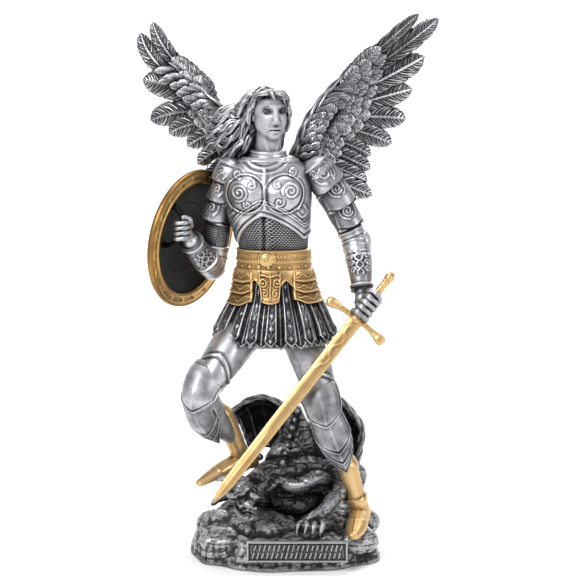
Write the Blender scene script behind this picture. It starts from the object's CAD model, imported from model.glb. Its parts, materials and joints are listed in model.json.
import json
import math

import bmesh
import bpy
import numpy as np
from mathutils import Matrix, Vector, noise

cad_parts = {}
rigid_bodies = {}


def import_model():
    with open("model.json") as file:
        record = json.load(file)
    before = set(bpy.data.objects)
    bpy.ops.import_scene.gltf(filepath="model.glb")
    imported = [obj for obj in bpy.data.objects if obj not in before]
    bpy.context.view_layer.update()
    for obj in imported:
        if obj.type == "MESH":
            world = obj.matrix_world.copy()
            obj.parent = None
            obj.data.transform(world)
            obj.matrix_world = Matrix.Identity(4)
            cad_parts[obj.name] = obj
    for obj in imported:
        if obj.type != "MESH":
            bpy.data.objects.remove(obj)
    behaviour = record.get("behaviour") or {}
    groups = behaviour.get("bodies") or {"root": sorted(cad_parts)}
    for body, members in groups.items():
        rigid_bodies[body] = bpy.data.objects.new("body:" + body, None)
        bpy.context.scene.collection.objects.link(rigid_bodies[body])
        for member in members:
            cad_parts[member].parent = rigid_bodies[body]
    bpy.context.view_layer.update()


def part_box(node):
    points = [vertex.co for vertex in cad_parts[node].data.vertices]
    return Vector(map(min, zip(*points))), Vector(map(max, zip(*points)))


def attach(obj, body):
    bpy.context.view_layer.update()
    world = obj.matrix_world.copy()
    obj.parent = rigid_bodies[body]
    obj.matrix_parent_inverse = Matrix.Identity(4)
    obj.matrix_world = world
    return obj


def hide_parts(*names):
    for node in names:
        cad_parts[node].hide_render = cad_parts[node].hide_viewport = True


for leftover in list(bpy.data.objects):
    bpy.data.objects.remove(leftover)
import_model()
figureLow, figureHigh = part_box("archangel_figure")

# Every table below is in the figure's own millimetres, which the CAD also uses: these set them in the frame
tableValues = {"figureHeight": 283.6, "sunk": 0.5, "rockTop": 20, "rockMiddle": 3}
mm = (figureHigh[2] - figureLow[2]) / tableValues["figureHeight"]
ground = figureLow[2] + tableValues["sunk"] * mm
tablesAt = (-tableValues["rockMiddle"] * mm, 0, ground - tableValues["rockTop"] * mm)
toFrame = Matrix.Translation(tablesAt) @ Matrix.Scale(mm, 4)

# Rings of the trunk and of the skirt: height, middle x, middle y, half width, half depth
trunkRings = (
    (260, -8.8, 1.0, 11.0, 10.5), (256, -9.0, 0.8, 17.0, 12.0), (250, -9.6, 0.0, 24.0, 14.5),
    (243, -9.8, -0.8, 26.8, 16.5), (234, -9.8, -1.5, 27.4, 17.6), (220, -8.2, -1.0, 25.4, 16.8),
    (207, -6.0, -0.3, 22.6, 15.2), (197, -5.4, 0.0, 21.2, 14.8), (186, -5.2, 0.0, 20.8, 15.4),
    (160, -5.0, 0.0, 23.0, 17.0),
)
skirtRings = (
    (200, -5.0, 0.0, 21.6, 16.0), (188, -5.0, 0.0, 22.6, 17.0), (176, -4.6, -0.5, 24.4, 19.0),
    (166, -4.2, -1.0, 27.6, 22.0), (152, -4.4, -1.5, 34.0, 27.0), (136, -4.6, -2.0, 40.0, 30.5),
)


def unit(vectors):
    return vectors / np.maximum(np.linalg.norm(vectors, axis=-1, keepdims=True), 1e-9)


def catmull(rows, samples):
    rows = np.array(rows, float)
    last = len(rows) - 1
    run = np.linspace(0, last, samples)
    i = np.minimum(run.astype(int), last - 1)
    t = (run - i)[:, None]
    a, b, c, d = rows[np.maximum(i - 1, 0)], rows[i], rows[i + 1], rows[np.minimum(i + 2, last)]
    return 0.5 * (2 * b + (c - a) * t + (2 * a - 5 * b + 4 * c - d) * t**2 + (3 * b - a - 3 * c + d) * t**3)


def spineOf(rows, front=(0, -1, 0), power=2.0, samples=96):
    table = catmull(rows, samples)
    run = np.concatenate(([0], np.cumsum(np.linalg.norm(np.diff(table[:, :3], axis=0), axis=1))))
    even = np.linspace(0, run[-1], samples)
    table = np.stack([np.interp(even, run, table[:, k]) for k in range(5)], axis=1)
    along = unit(np.gradient(table[:, :3], axis=0))
    side = unit(np.cross(along, np.array(front, float)))
    if side[:, 0].mean() < 0:
        side = -side
    ahead = unit(np.cross(side, along))
    if (ahead @ np.array(front, float)).mean() < 0:
        ahead = -ahead
    return {"table": np.concatenate((table, side, ahead), axis=1), "length": run[-1], "power": power}


def squared(turn, power):
    s, c = np.sin(turn), np.cos(turn)
    return np.copysign(np.abs(s) ** (2 / power), s), np.copysign(np.abs(c) ** (2 / power), c)


# Degrees are counted from the front towards the figure's left
def onSpine(spine, share, degrees, out):
    table = spine["table"]
    share, degrees, out = np.broadcast_arrays(share, degrees, out)
    where = np.clip(share, 0, 1) * (len(table) - 1)
    row = [np.interp(where, np.arange(len(table)), table[:, k]) for k in range(11)]
    s, c = squared(np.radians(degrees), spine["power"])
    wide, deep = (row[3] + out) * s, (row[4] + out) * c
    return np.stack([row[k] + row[5 + k] * wide + row[8 + k] * deep for k in range(3)], axis=-1)


def ringForm(rings, power):
    dense = catmull([(x, y, w, d, z) for z, x, y, w, d in rings], 200)
    return {"rows": dense[np.argsort(dense[:, 4])], "power": power}


def around(form, degrees, height, out):
    degrees, height, out = np.broadcast_arrays(degrees, height, out)
    x, y, w, d = (np.interp(height, form["rows"][:, 4], form["rows"][:, k]) for k in range(4))
    s, c = squared(np.radians(degrees), form["power"])
    return np.stack((x + (w + out) * s, y - (d + out) * c, height), axis=-1)


trunk = ringForm(trunkRings, 2.4)
skirt = ringForm(skirtRings, 2.0)


def onTrunk(height, degrees, out):
    return around(trunk, degrees, height, out)


def onSkirt(height, degrees, out):
    return around(skirt, degrees, height, out)


# A bearing brought to between -180 and 180 degrees from the middle
def bearing(degrees, middle=0):
    return (degrees - middle + 180) % 360 - 180


def frontOf(degrees, low, high):
    return step(np.cos(np.radians(degrees)), low, high)


def newMesh():
    bm = bmesh.new()
    bm.verts.layers.float.new("wear")
    return bm


# A closed skin over rings of points: its ends close on their middles, or the last ring meets the first
def skin(bm, rings, wear=None, looped=False):
    rows, columns = rings.shape[:2]
    centre = rings.reshape(-1, 3).mean(axis=0)
    across = np.roll(rings, -1, axis=1)[:-1] - rings[:-1]
    inside = np.einsum("ijk,ijk->", rings[:-1] - centre, np.cross(across, rings[1:] - rings[:-1]))
    if inside < 0:
        rings = rings[:, ::-1]
        wear = wear if wear is None else np.broadcast_to(wear, (rows, columns))[:, ::-1]
    ends = [np.repeat(ring.mean(axis=0)[None, None], columns, axis=1) for ring in (rings[0], rings[-1])]
    net = np.concatenate((rings, rings[:1]) if looped else (ends[0], rings, ends[1]), axis=0)
    net = np.concatenate((net, net[:, :1]), axis=1)
    made = bmesh.ops.create_grid(bm, x_segments=columns, y_segments=len(net) - 1, size=1)["verts"]
    for vert, point in zip(made, net.reshape(-1, 3).tolist()):
        vert.co = point
    if wear is not None:
        layer = bm.verts.layers.float["wear"]
        worn = np.pad(np.broadcast_to(wear, (rows, columns)), ((1, len(net) - rows - 1), (0, 1)), mode="edge")
        for vert, value in zip(made, worn.ravel().tolist()):
            vert[layer] = value
    wide = columns + 1
    seam = set(made[:wide] + made[-wide:])
    for r in range(len(net)):
        seam.update((made[r * wide], made[r * wide + columns]))
    bmesh.ops.remove_doubles(bm, verts=list(seam), dist=1e-4)


# Rounded ends added to a row of rings
def domed(rings):
    for flip in (False, True):
        rings = rings[::-1] if flip else rings
        middle = rings[0].mean(axis=0)
        out = unit(middle - rings[1].mean(axis=0))
        reach = np.linalg.norm(rings[0] - middle, axis=1).min()
        caps = [middle + out * reach * rise + (rings[0] - middle) * keep
                for rise, keep in ((0.86, 0.5), (0.5, 0.87))]
        rings = np.concatenate((np.array(caps), rings), axis=0)
    return rings[::-1]


def tube(bm, rows, sides=16, front=(0, -1, 0), spacing=1.2, ends=True, power=2.0, out=0.0, turnBy=0.0):
    spine = spineOf(rows, front, power)
    count = max(4, int(spine["length"] / spacing))
    share = np.linspace(0, 1, count)[:, None]
    turn = np.arange(sides)[None] * 360 / sides + turnBy
    rings = onSpine(spine, share, turn, out(share, turn) if callable(out) else out)
    skin(bm, domed(rings) if ends else rings)


def ball(bm, middle, radii, level=3, turn=Matrix()):
    matrix = Matrix.Translation(middle) @ turn @ Matrix.Diagonal((*radii, 1))
    bmesh.ops.create_icosphere(bm, subdivisions=level, radius=1, matrix=matrix)


# A plate right round a limb; top, bottom and out may change with the bearing
def sleeve(bm, place, top, bottom, out, columns, rows, bite=1.6, turns=None):
    turn = (np.arange(columns) * 360 / columns if turns is None else turns)[None]
    v = np.linspace(0, 1, rows)[:, None]
    top, bottom = (part(turn) if callable(part) else np.full(turn.shape, float(part))
                   for part in (top, bottom))
    where = top + (bottom - top) * v
    rings = place(where, turn, out(v, turn, where) + 0 * where)
    inner = [place(edge, turn, -bite + 0 * edge) for edge in (top, bottom)]
    skin(bm, np.concatenate((inner[0], rings, inner[1]), axis=0))


# A slab whose front carries relief and whose back lies plain on the form under it
def patch(bm, place, out, columns, rows, floor=-1.0, backing=4):
    v = np.linspace(0, 1, rows + 1)[:, None]
    u, v2 = np.broadcast_arrays(np.linspace(0, 1, columns + 1)[None], v)
    front = place(u, v2, out(u, v2) + 0 * u)
    u, v2 = np.broadcast_arrays(np.linspace(1, 0, backing + 1)[None], v)
    skin(bm, np.concatenate((front, place(u, v2, np.full(u.shape, floor))), axis=1))


def ridge(distance, width):
    return np.exp(-((distance / width) ** 2))


def step(value, low, high):
    t = np.clip((value - low) / (high - low), 0, 1)
    return t * t * (3 - 2 * t)


def nearest(x, y, lines):
    best = np.full(np.broadcast(x, y).shape, 1e6)
    for line in lines:
        for (ax, ay), (bx, by) in zip(line, line[1:]):
            dx, dy = bx - ax, by - ay
            t = np.clip(((x - ax) * dx + (y - ay) * dy) / (dx * dx + dy * dy + 1e-9), 0, 1)
            best = np.minimum(best, np.hypot(x - ax - t * dx, y - ay - t * dy))
    return best


def spiral(x, y, radius, turns, start, hand=1, steps=26, core=0.12):
    line = []
    for k in range(steps + 1):
        share = k / steps
        reach = radius * (core + (1 - core) * (1 - share) ** 0.8)
        angle = math.radians(start) + hand * turns * 2 * math.pi * share
        line.append((x + reach * math.cos(angle), y + reach * math.sin(angle)))
    return line


def curve(*points):
    return [tuple(p) for p in catmull(points, 6 * (len(points) - 1) + 1)]


# Rows of beads, each row half a bead along from the last, as mail is drawn in a casting
def mail(across, down):
    across = across + 0.5 * (np.floor(down) % 2)
    a, b = across - np.floor(across) - 0.5, down - np.floor(down) - 0.5
    return np.clip(1 - (a * a * 3.4 + b * b * 3.4), 0, 1)


# Bright on what stands proud and dark in the hollows, from how far each point lies off its smoothed place
def reliefOf(mesh):
    count = len(mesh.vertices)
    co = np.empty(count * 3)
    mesh.vertices.foreach_get("co", co)
    normal = np.empty(count * 3)
    mesh.vertices.foreach_get("normal", normal)
    ends = np.empty(len(mesh.edges) * 2, int)
    mesh.edges.foreach_get("vertices", ends)
    co, normal, a, b = co.reshape(-1, 3), normal.reshape(-1, 3), ends[::2], ends[1::2]
    degree = np.maximum(np.bincount(a, minlength=count) + np.bincount(b, minlength=count), 1)
    soft, made, done = co.copy(), np.zeros(count), 0
    for passes, weight, size in ((2, 0.4, 0.05), (8, 0.5, 0.14), (30, 0.4, 0.4)):
        for _ in range(passes - done):
            total = [np.bincount(a, soft[b, k], count) + np.bincount(b, soft[a, k], count) for k in range(3)]
            soft = 0.4 * soft + 0.6 * np.stack(total, axis=1) / degree[:, None]
        done = passes
        made += weight * np.tanh(((co - soft) * normal).sum(axis=1) / size)
    return made


def melt(bm, voxel, smoothing, shape=None):
    mesh = bpy.data.meshes.new("melting")
    bmesh.ops.recalc_face_normals(bm, faces=bm.faces)
    bm.to_mesh(mesh)
    bm.free()
    obj = bpy.data.objects.new("melting", mesh)
    bpy.context.scene.collection.objects.link(obj)
    remesh = obj.modifiers.new("remesh", "REMESH")
    remesh.mode = "VOXEL"
    remesh.voxel_size = voxel
    soft = obj.modifiers.new("soft", "SMOOTH")
    soft.factor = 0.5
    soft.iterations = smoothing
    graph = bpy.context.evaluated_depsgraph_get()
    done = bpy.data.meshes.new_from_object(obj.evaluated_get(graph))
    bpy.data.objects.remove(obj)
    if shape:
        co = np.empty(len(done.vertices) * 3)
        normal = np.empty(len(done.vertices) * 3)
        done.vertices.foreach_get("co", co)
        done.vertices.foreach_get("normal", normal)
        done.vertices.foreach_set("co", shape(co.reshape(-1, 3), normal.reshape(-1, 3)).ravel())
        done.update()
    made = newMesh()
    made.from_mesh(done)
    bpy.data.meshes.remove(done)
    return made


def noiseAt(points, scale, seed=0.0):
    shift = Vector((seed, seed * 1.7, -seed))
    return np.array([noise.noise(Vector(p) * scale + shift) for p in points.tolist()])


def crags(points, scale, seed=0.0, octaves=4):
    shift = Vector((seed, seed * 1.7, -seed))
    return np.array([noise.turbulence(Vector(p) * scale + shift, octaves, True) for p in points.tolist()])


# Lighter or darker paint on everything made since the mesh held that many points
def shade(bm, amount, first=0):
    layer = bm.verts.layers.float["wear"]
    for vert in list(bm.verts)[first:]:
        vert[layer] += amount


def finishPiece(name, bm, node, material):
    mesh = bpy.data.meshes.new(name)
    bm.to_mesh(mesh)
    bm.free()
    own = np.zeros(len(mesh.vertices))
    if "wear" in mesh.attributes:
        mesh.attributes["wear"].data.foreach_get("value", own)
        mesh.attributes.remove(mesh.attributes["wear"])
    wear = mesh.attributes.new("wear", "FLOAT", "POINT")
    wear.data.foreach_set("value", own + reliefOf(mesh))
    mesh.transform(toFrame)
    mesh.polygons.foreach_set("use_smooth", [True] * len(mesh.polygons))
    mesh.materials.append(material)
    piece = bpy.data.objects.new(name, mesh)
    bpy.context.scene.collection.objects.link(piece)
    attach(piece, "root")
    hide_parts(node)
    mesh.calc_loop_triangles()
    print(f"{name}: {len(mesh.loop_triangles)} triangles")


def setInputs(node, values):
    for name, value in values.items():
        node.inputs[name].default_value = value


castDetail = {
    "hollowSamples": 6, "blotchPitch": 0.09, "blotchDetail": 6, "blotchRoughness": 0.62,
    "grainPitch": 1.6, "grainDetail": 3, "grainDepth": 0.12, "glossFrom": 0.1, "glossTo": 0.9,
}
castNames = ("metallic", "reach", "hollowGain", "level", "wearGain", "blotchGain", "roughDark", "roughBright",
             "grain")


# Antique cast metal: tone and gloss follow the hollows, the wear of what stands proud and a slow blotch
def castMetal(name, row, tones):
    v, values = castDetail, dict(zip(castNames, row))
    material = bpy.data.materials.new(name)
    material.use_nodes = True
    nodes, links = material.node_tree.nodes, material.node_tree.links
    shader = nodes["Principled BSDF"]
    shader.inputs["Metallic"].default_value = values["metallic"]
    place = nodes.new("ShaderNodeTexCoord")
    worn = nodes.new("ShaderNodeAttribute")
    worn.attribute_name = "wear"
    hollow = nodes.new("ShaderNodeAmbientOcclusion")
    hollow.inputs["Distance"].default_value = values["reach"] * mm
    hollow.samples = v["hollowSamples"]
    blotch = nodes.new("ShaderNodeTexNoise")
    setInputs(blotch, {"Scale": v["blotchPitch"] / mm, "Detail": v["blotchDetail"],
                       "Roughness": v["blotchRoughness"]})
    grain = nodes.new("ShaderNodeTexNoise")
    setInputs(grain, {"Scale": v["grainPitch"] / mm, "Detail": v["grainDetail"]})
    for noisy in (blotch, grain):
        links.new(place.outputs["Object"], noisy.inputs["Vector"])
    level = None
    for source, gain in ((hollow.outputs["AO"], values["hollowGain"]),
                         (worn.outputs["Fac"], values["wearGain"]),
                         (blotch.outputs["Fac"], values["blotchGain"])):
        node = nodes.new("ShaderNodeMath")
        node.operation = "MULTIPLY_ADD"
        links.new(source, node.inputs[0])
        node.inputs[1].default_value = gain
        if level is None:
            node.inputs[2].default_value = values["level"]
        else:
            links.new(level, node.inputs[2])
        level = node.outputs[0]
    tone = nodes.new("ShaderNodeValToRGB")
    stops = tone.color_ramp.elements
    while len(stops) < len(tones):
        stops.new(0.5)
    for stop, (where, *colour) in zip(stops, tones):
        stop.position = where
        stop.color = (*colour, 1)
    links.new(level, tone.inputs["Fac"])
    links.new(tone.outputs["Color"], shader.inputs["Base Color"])
    gloss = nodes.new("ShaderNodeMapRange")
    setInputs(gloss, {"From Min": v["glossFrom"], "From Max": v["glossTo"],
                      "To Min": values["roughDark"], "To Max": values["roughBright"]})
    links.new(level, gloss.inputs["Value"])
    links.new(gloss.outputs["Result"], shader.inputs["Roughness"])
    bump = nodes.new("ShaderNodeBump")
    setInputs(bump, {"Strength": values["grain"], "Distance": v["grainDepth"] * mm})
    links.new(grain.outputs["Fac"], bump.inputs["Height"])
    links.new(bump.outputs["Normal"], shader.inputs["Normal"])
    return material


# After the values that castNames lists, each tone is its place on the ramp and its red, green and blue
silverTones = ((0.0, 0.01, 0.01, 0.011), (0.25, 0.04, 0.04, 0.043), (0.5, 0.14, 0.14, 0.148))
silver = castMetal("antique_silver", (0.88, 7, 0.8, -0.82, 0.4, 1.05, 0.6, 0.39, 0.4),
                   (*silverTones, (0.75, 0.31, 0.31, 0.322), (1.0, 0.62, 0.62, 0.64)))
skinMetal = castMetal("antique_silver_skin", (0.6, 7, 0.9, -0.82, 0.4, 0.6, 0.66, 0.56, 0.3),
                      (*silverTones, (0.75, 0.29, 0.29, 0.3), (1.0, 0.5, 0.5, 0.515)))
featherMetal = castMetal("antique_silver_feathers", (0.85, 7, 1.0, -1.0, 0.42, 0.7, 0.6, 0.3, 0.35),
                         ((0.0, 0.008, 0.008, 0.009), (0.25, 0.028, 0.028, 0.03), (0.5, 0.09, 0.09, 0.095),
                          (0.75, 0.24, 0.24, 0.25), (1.0, 0.6, 0.6, 0.615)))
mailMetal = castMetal("antique_silver_mail", (0.85, 4, 0.8, -0.55, 0.5, 0.35, 0.62, 0.36, 0.3),
                      ((0.0, 0.01, 0.01, 0.011), (0.3, 0.045, 0.045, 0.048), (0.6, 0.16, 0.16, 0.17),
                       (1.0, 0.5, 0.5, 0.52)))
gold = castMetal("warm_gold", (0.8, 4, 1.0, -0.62, 0.5, 0.6, 0.52, 0.38, 0.15),
                 ((0.0, 0.045, 0.022, 0.009), (0.3, 0.17, 0.095, 0.033), (0.6, 0.4, 0.245, 0.095),
                  (1.0, 0.68, 0.46, 0.215)))
darkCast = castMetal("dark_rock", (0.7, 7, 0.8, -0.6, 0.4, 0.5, 0.6, 0.36, 0.6),
                     ((0.0, 0.008, 0.008, 0.009), (0.3, 0.03, 0.03, 0.032), (0.6, 0.13, 0.13, 0.135),
                      (1.0, 0.46, 0.46, 0.47)))
oldGold = castMetal("shield_bronze", (0.9, 4, 0.9, -0.36, 0.36, 0.5, 0.5, 0.32, 0.4),
                    ((0.0, 0.05, 0.024, 0.01), (0.3, 0.2, 0.1, 0.03), (0.6, 0.46, 0.26, 0.08),
                     (1.0, 0.78, 0.52, 0.22)))
blackened = castMetal("blackened_field", (0.7, 8, 0.7, -0.7, 0.3, 0.6, 0.6, 0.42, 0.5),
                      ((0.0, 0.006, 0.006, 0.006), (0.4, 0.014, 0.013, 0.012), (0.7, 0.035, 0.03, 0.026),
                       (1.0, 0.16, 0.13, 0.1)))
greyCast = castMetal("grey_rock", (0.6, 7, 0.7, -0.42, 0.34, 0.6, 0.62, 0.4, 0.8),
                     ((0.0, 0.012, 0.012, 0.013), (0.3, 0.05, 0.05, 0.052), (0.6, 0.16, 0.16, 0.163),
                      (1.0, 0.46, 0.46, 0.465)))
print("materials made")

trunkValues = {
    "edge": ((-180, 205), (-105, 209), (-74, 203), (-5, 222), (53, 206), (95, 211), (180, 205)),
    "bosses": ((-22.4, 235.5), (1.4, 235.5)), "bossRadii": (11.6, 11.4), "bossRise": 2.9, "shade": 0.75,
    "plateTop": 257.5, "plateOut": 1.3, "rimOut": 0.7, "scrollOut": 0.5, "middle": -10.8, "plateRows": 96,
    "beadsAround": 70, "mailTop": 226.0, "mailBottom": 184.0, "beadHeight": 1.15, "beadOut": 0.55,
    "collarMiddle": 264, "bands": (14.5, 18.5),
    "neck": ((-8.8, 0, 253, 14.0, 12.2), (-8.8, 0, 257, 12.6, 11.4), (-8.8, -0.4, 262, 10.8, 10.4)),
    "collarRolls": ((0.06, 0.7, 0.7), (0.93, 0.8, 0.7), (0.5, 0.4, 0.5)),
    "spirals": (
        (-27.1, 236.4, 5.6, 1.9, 250, 1), (-27.7, 247.6, 2.6, 1.3, 300, -1), (-19.0, 241.4, 2.6, 1.1, 60, -1),
        (-21.6, 229.0, 2.4, 1.1, 150, 1), (5.8, 237.6, 5.4, 1.9, 200, -1), (6.8, 249.3, 2.6, 1.3, 240, 1),
        (-2.8, 241.6, 2.4, 1.1, 120, 1), (-1.4, 230.6, 2.8, 1.2, 30, -1),
    ),
    "curves": (
        ((-32.6, 243.4), (-34.8, 238.0), (-34.6, 231.0), (-31.6, 226.0)),
        ((-30.2, 226.4), (-26.4, 224.0), (-22.0, 224.6), (-17.8, 227.4)),
        ((11.4, 243.4), (13.6, 238.0), (13.0, 231.0), (10.4, 226.0)),
        ((8.8, 226.4), (5.0, 224.0), (0.6, 224.6), (-3.6, 227.4)),
        ((-35, 228), (-36.6, 223.6), (-33.4, 220.6), (-30.6, 223.4)),
        ((14, 228), (16.2, 223.6), (13, 220.6), (10, 223.4)),
    ),
}


# Closer columns in front than behind
def frontTurns(front, back):
    return np.concatenate((np.linspace(-95, 95, front, endpoint=False),
                           np.linspace(95, 265, back, endpoint=False)))


def linesOf(spirals, curves):
    return [spiral(*row) for row in spirals] + [curve(*row) for row in curves]


def plateEdge(degrees):
    bearings, heights = zip(*trunkValues["edge"])
    return sum(np.interp(bearing(degrees) + d, bearings, heights) for d in (-3, 0, 3)) / 3


def makeTrunk():
    v = trunkValues
    bm = newMesh()
    turns = frontTurns(190, 60)
    scrolls = linesOf(v["spirals"], v["curves"])

    def chest(turn, height):
        point = onTrunk(height, turn, v["plateOut"])
        x, z = point[..., 0], point[..., 2]
        above = height - plateEdge(turn)
        front = frontOf(turn, 0.1, 0.35)
        out = v["rimOut"] * ridge(above - 1.1, 0.9) - 0.45 * ridge(above - 2.9, 0.7)
        out = out + 0.55 * (ridge(above - 8.2, 0.55) + ridge(above - 10.0, 0.55)) * front
        out = out + 0.8 * ridge(x - v["middle"], 1.0) * front * step(above, 3, 8) * step(-z, -253, -248)
        collar = np.hypot(x - v["middle"], (z - v["collarMiddle"]) * 1.15)
        near = front * step(-np.abs(x - v["middle"]), -17, -11)
        for reach in v["bands"]:
            out = out + (0.34 * ridge(collar - reach, 0.8) - 0.2 * ridge(collar - reach + 1.7, 0.8)) * near
        return out + 0.5 * ridge(z - 255.6, 0.8), front

    def place(height, turn, out):
        if np.ndim(out) and np.min(out) < -1:
            return onTrunk(height, turn, out)
        carved, front = chest(turn, height)
        point = onTrunk(height, turn, v["plateOut"] + carved)
        x, z = point[..., 0], point[..., 2]
        for bx, bz in v["bosses"]:
            rx, rz = v["bossRadii"]
            far = np.hypot((x - bx) / rx, (z - bz) / rz)
            lift = v["bossRise"] * np.clip(1 - far**2, 0, 1) ** 0.75
            border = 0.5 * ridge((far - 1.06) * rx, 0.6) - 0.3 * ridge((far - 0.97) * rx, 0.6)
            point[..., 1] -= (lift + border) * front
        line = nearest(x, z, scrolls)
        raised = v["scrollOut"] * ridge(line, 0.62) - 0.15 * ridge(line - 1.3, 0.5)
        point[..., 1] -= raised * front
        return point

    sleeve(bm, place, v["plateTop"], plateEdge, lambda s, t, h: 0 * h + 0 * t, len(turns), v["plateRows"],
           turns=turns)
    neck = spineOf(v["neck"])

    def rolls(s, t, h):
        return sum(high * ridge((s - where) * 9, wide) for where, high, wide in v["collarRolls"])

    sleeve(bm, lambda h, t, o: onSpine(neck, h, t, o), 0, 1, rolls, 64, 26, bite=2.4)
    shade(bm, v["shade"])
    finishPiece("figure_breastplate", bm, "archangel_figure", silver)
    bm = newMesh()
    beads = v["beadsAround"]
    turns = np.arange(beads * 4) * 90 / beads

    def belly(s, t, h):
        x = onTrunk(h, t, 0.0)[..., 0] - v["middle"]
        groove = ridge(x + 0.6, 1.4) * frontOf(t, 0.2, 0.5)
        muscle = 0.7 * np.cos(x * 0.36) * np.cos((h - 190) * 0.52) * frontOf(t, 0.3, 0.8)
        return v["beadOut"] * mail(t * beads / 360, h / v["beadHeight"]) - 0.9 * groove + 0.35 * muscle

    rows = int((v["mailTop"] - v["mailBottom"]) / v["beadHeight"] * 3)
    sleeve(bm, onTrunk, v["mailTop"], v["mailBottom"], belly, len(turns), rows, turns=turns)
    finishPiece("figure_mail", bm, "archangel_figure", mailMetal)


beltValues = {
    "bandOut": 1.8, "lowBandOut": 1.2, "topBand": (199.6, 192.4), "lowBand": (192.6, 185.6), "studs": 22,
    "medallion": (-9.6, 194.0), "medallionRadius": 4.4,
    "medallionSteps": ((1.0, 0.9), (0.78, 1.3), (0.3, 2.1)),
    "yokeTop": 187.4, "yokeBottom": 176.4, "archRise": 4.6, "archAt": 23, "archWidth": 7,
    "panelMiddle": -6, "panelHalf": 15, "panelTop": 187, "panelBottom": 168.3, "panelOut": 2.9,
    "flapTop": 186.5,
    "flaps": ((-57, 25, 165.6, 1), (54, 27, 167.0, -1), (-122, 27, 167, 1), (128, 27, 167, -1),
              (181, 20, 167, 1)),
    "spirals": ((-4.6, 180.4, 2.9, 1.4, 200, 1), (4.6, 180.4, 2.9, 1.4, -20, -1),
                (-3.6, 174.2, 2.3, 1.2, 120, -1), (3.6, 174.2, 2.3, 1.2, 60, 1)),
    "curves": (((0, 185), (0.4, 181), (0, 177), (0, 171)), ((-6.4, 184.4), (-4, 184.8), (0, 183.6)),
               ((6.4, 184.4), (4, 184.8), (0, 183.6))),
}


def makeBelt():
    v = beltValues
    bm = newMesh()
    turns = frontTurns(150, 60)
    mx, mz = v["medallion"]

    def edges(s, inset, width=0.45):
        return ridge((s - inset) * 7, width) + ridge((s - 1 + inset) * 7, width)

    def topBand(s, t, h):
        point = onSkirt(h, t, 2)
        out = v["bandOut"] + 0.8 * edges(s, 0.07)
        out = out + 0.3 * ridge((s - 0.5) * 7, 0.5) * np.cos(t * 0.55) ** 2
        far = np.hypot(point[..., 0] - mx, h - mz)
        return out + 0.4 * ridge(far - v["medallionRadius"] - 0.8, 0.5) * (np.cos(np.radians(t)) > 0)

    sleeve(bm, onSkirt, *v["topBand"], topBand, len(turns), 26, turns=turns, bite=2)

    def lowBand(s, t, h):
        stud = np.abs((t * v["studs"] / 360) % 1 - 0.5) * 360 / v["studs"] * 0.4
        return v["lowBandOut"] + 0.7 * edges(s, 0.08) + 0.6 * ridge(np.hypot(stud, (s - 0.5) * 7), 0.75)

    sleeve(bm, onSkirt, *v["lowBand"], lowBand, len(turns), 22, turns=turns, bite=2)
    face = onSkirt(mz, 0, v["bandOut"])[1]
    for radius, lift in v["medallionSteps"]:
        ball(bm, (mx, face, mz), (v["medallionRadius"] * radius, lift, v["medallionRadius"] * radius), 4)

    def arches(turn):
        off = (np.abs(bearing(turn) - v["panelMiddle"]) - v["archAt"]) / v["archWidth"]
        return v["yokeBottom"] + v["archRise"] * np.exp(-(off**2))

    def yoke(s, t, h):
        return 1.9 + 0.6 * ridge((1 - s) * 9 - 0.7, 0.6)

    sleeve(bm, onSkirt, v["yokeTop"], arches, yoke, len(turns), 18, turns=turns, bite=0)
    scroll = linesOf(v["spirals"], v["curves"])

    def panel(u, s, o):
        degrees = v["panelMiddle"] + v["panelHalf"] * (2 * u - 1) * (1.05 - 0.34 * s**2)
        drop = 1.5 * (1 - (2 * u - 1) ** 2) * s
        return onSkirt(v["panelTop"] + (v["panelBottom"] - v["panelTop"]) * s - drop, degrees, o)

    def panelRelief(u, s):
        x, z = (2 * u - 1) * 7.2, v["panelTop"] - 19 * s
        edge = np.minimum(np.minimum(u, 1 - u) * 14.4, (1 - s) * 19)
        raised = 0.8 * ridge(edge - 0.6, 0.6) + 0.7 * ridge(nearest(x, z, scroll), 0.5)
        return v["panelOut"] + raised - 0.5 * step(-edge, -0.5, 0)

    patch(bm, panel, panelRelief, 48, 62)
    for middle, half, low, hand in v["flaps"]:

        def flap(u, s, o, middle=middle, half=half, low=low, hand=hand):
            side = (2 * u - 1) * hand
            degrees = middle + hand * half * side * (0.92 + 0.16 * s)
            lift = 3.2 * step(side, 0.3, 1.0) * s
            return onSkirt(v["flapTop"] + (low - v["flapTop"]) * s + lift - 0.8 * s, degrees, o)

        def flapRelief(u, s, half=half):
            lame = (s * 3) % 1
            across = np.minimum(u, 1 - u) * half * 0.9
            out = 2.3 + 1.3 * (s * 3 - np.floor(s * 3)) * 0.7 + 0.6 * ridge((lame - 0.88) * 6.6, 0.55)
            vine = ridge(np.abs((lame - 0.45) * 6.4 - 1.1 * np.sin(u * half * 0.55)), 0.42)
            return out + 0.5 * vine * step(across, 1.4, 2.4) + 0.55 * ridge(across - 0.5, 0.5)

        patch(bm, flap, flapRelief, int(half * 1.5), 40)
    finishPiece("figure_belt", bm, "archangel_figure", gold)


strapValues = {
    "count": 19, "turn": -3.7, "top": 187.0, "bottom": 143.6, "under": 141.6, "half": 5.7, "underHalf": 6.4,
    "kiltTop": 198.0, "kiltBottom": 139.5, "pleats": 48, "pleatDepth": 1.5, "kiltColumns": 240,
    "shade": -0.3,
}


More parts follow.
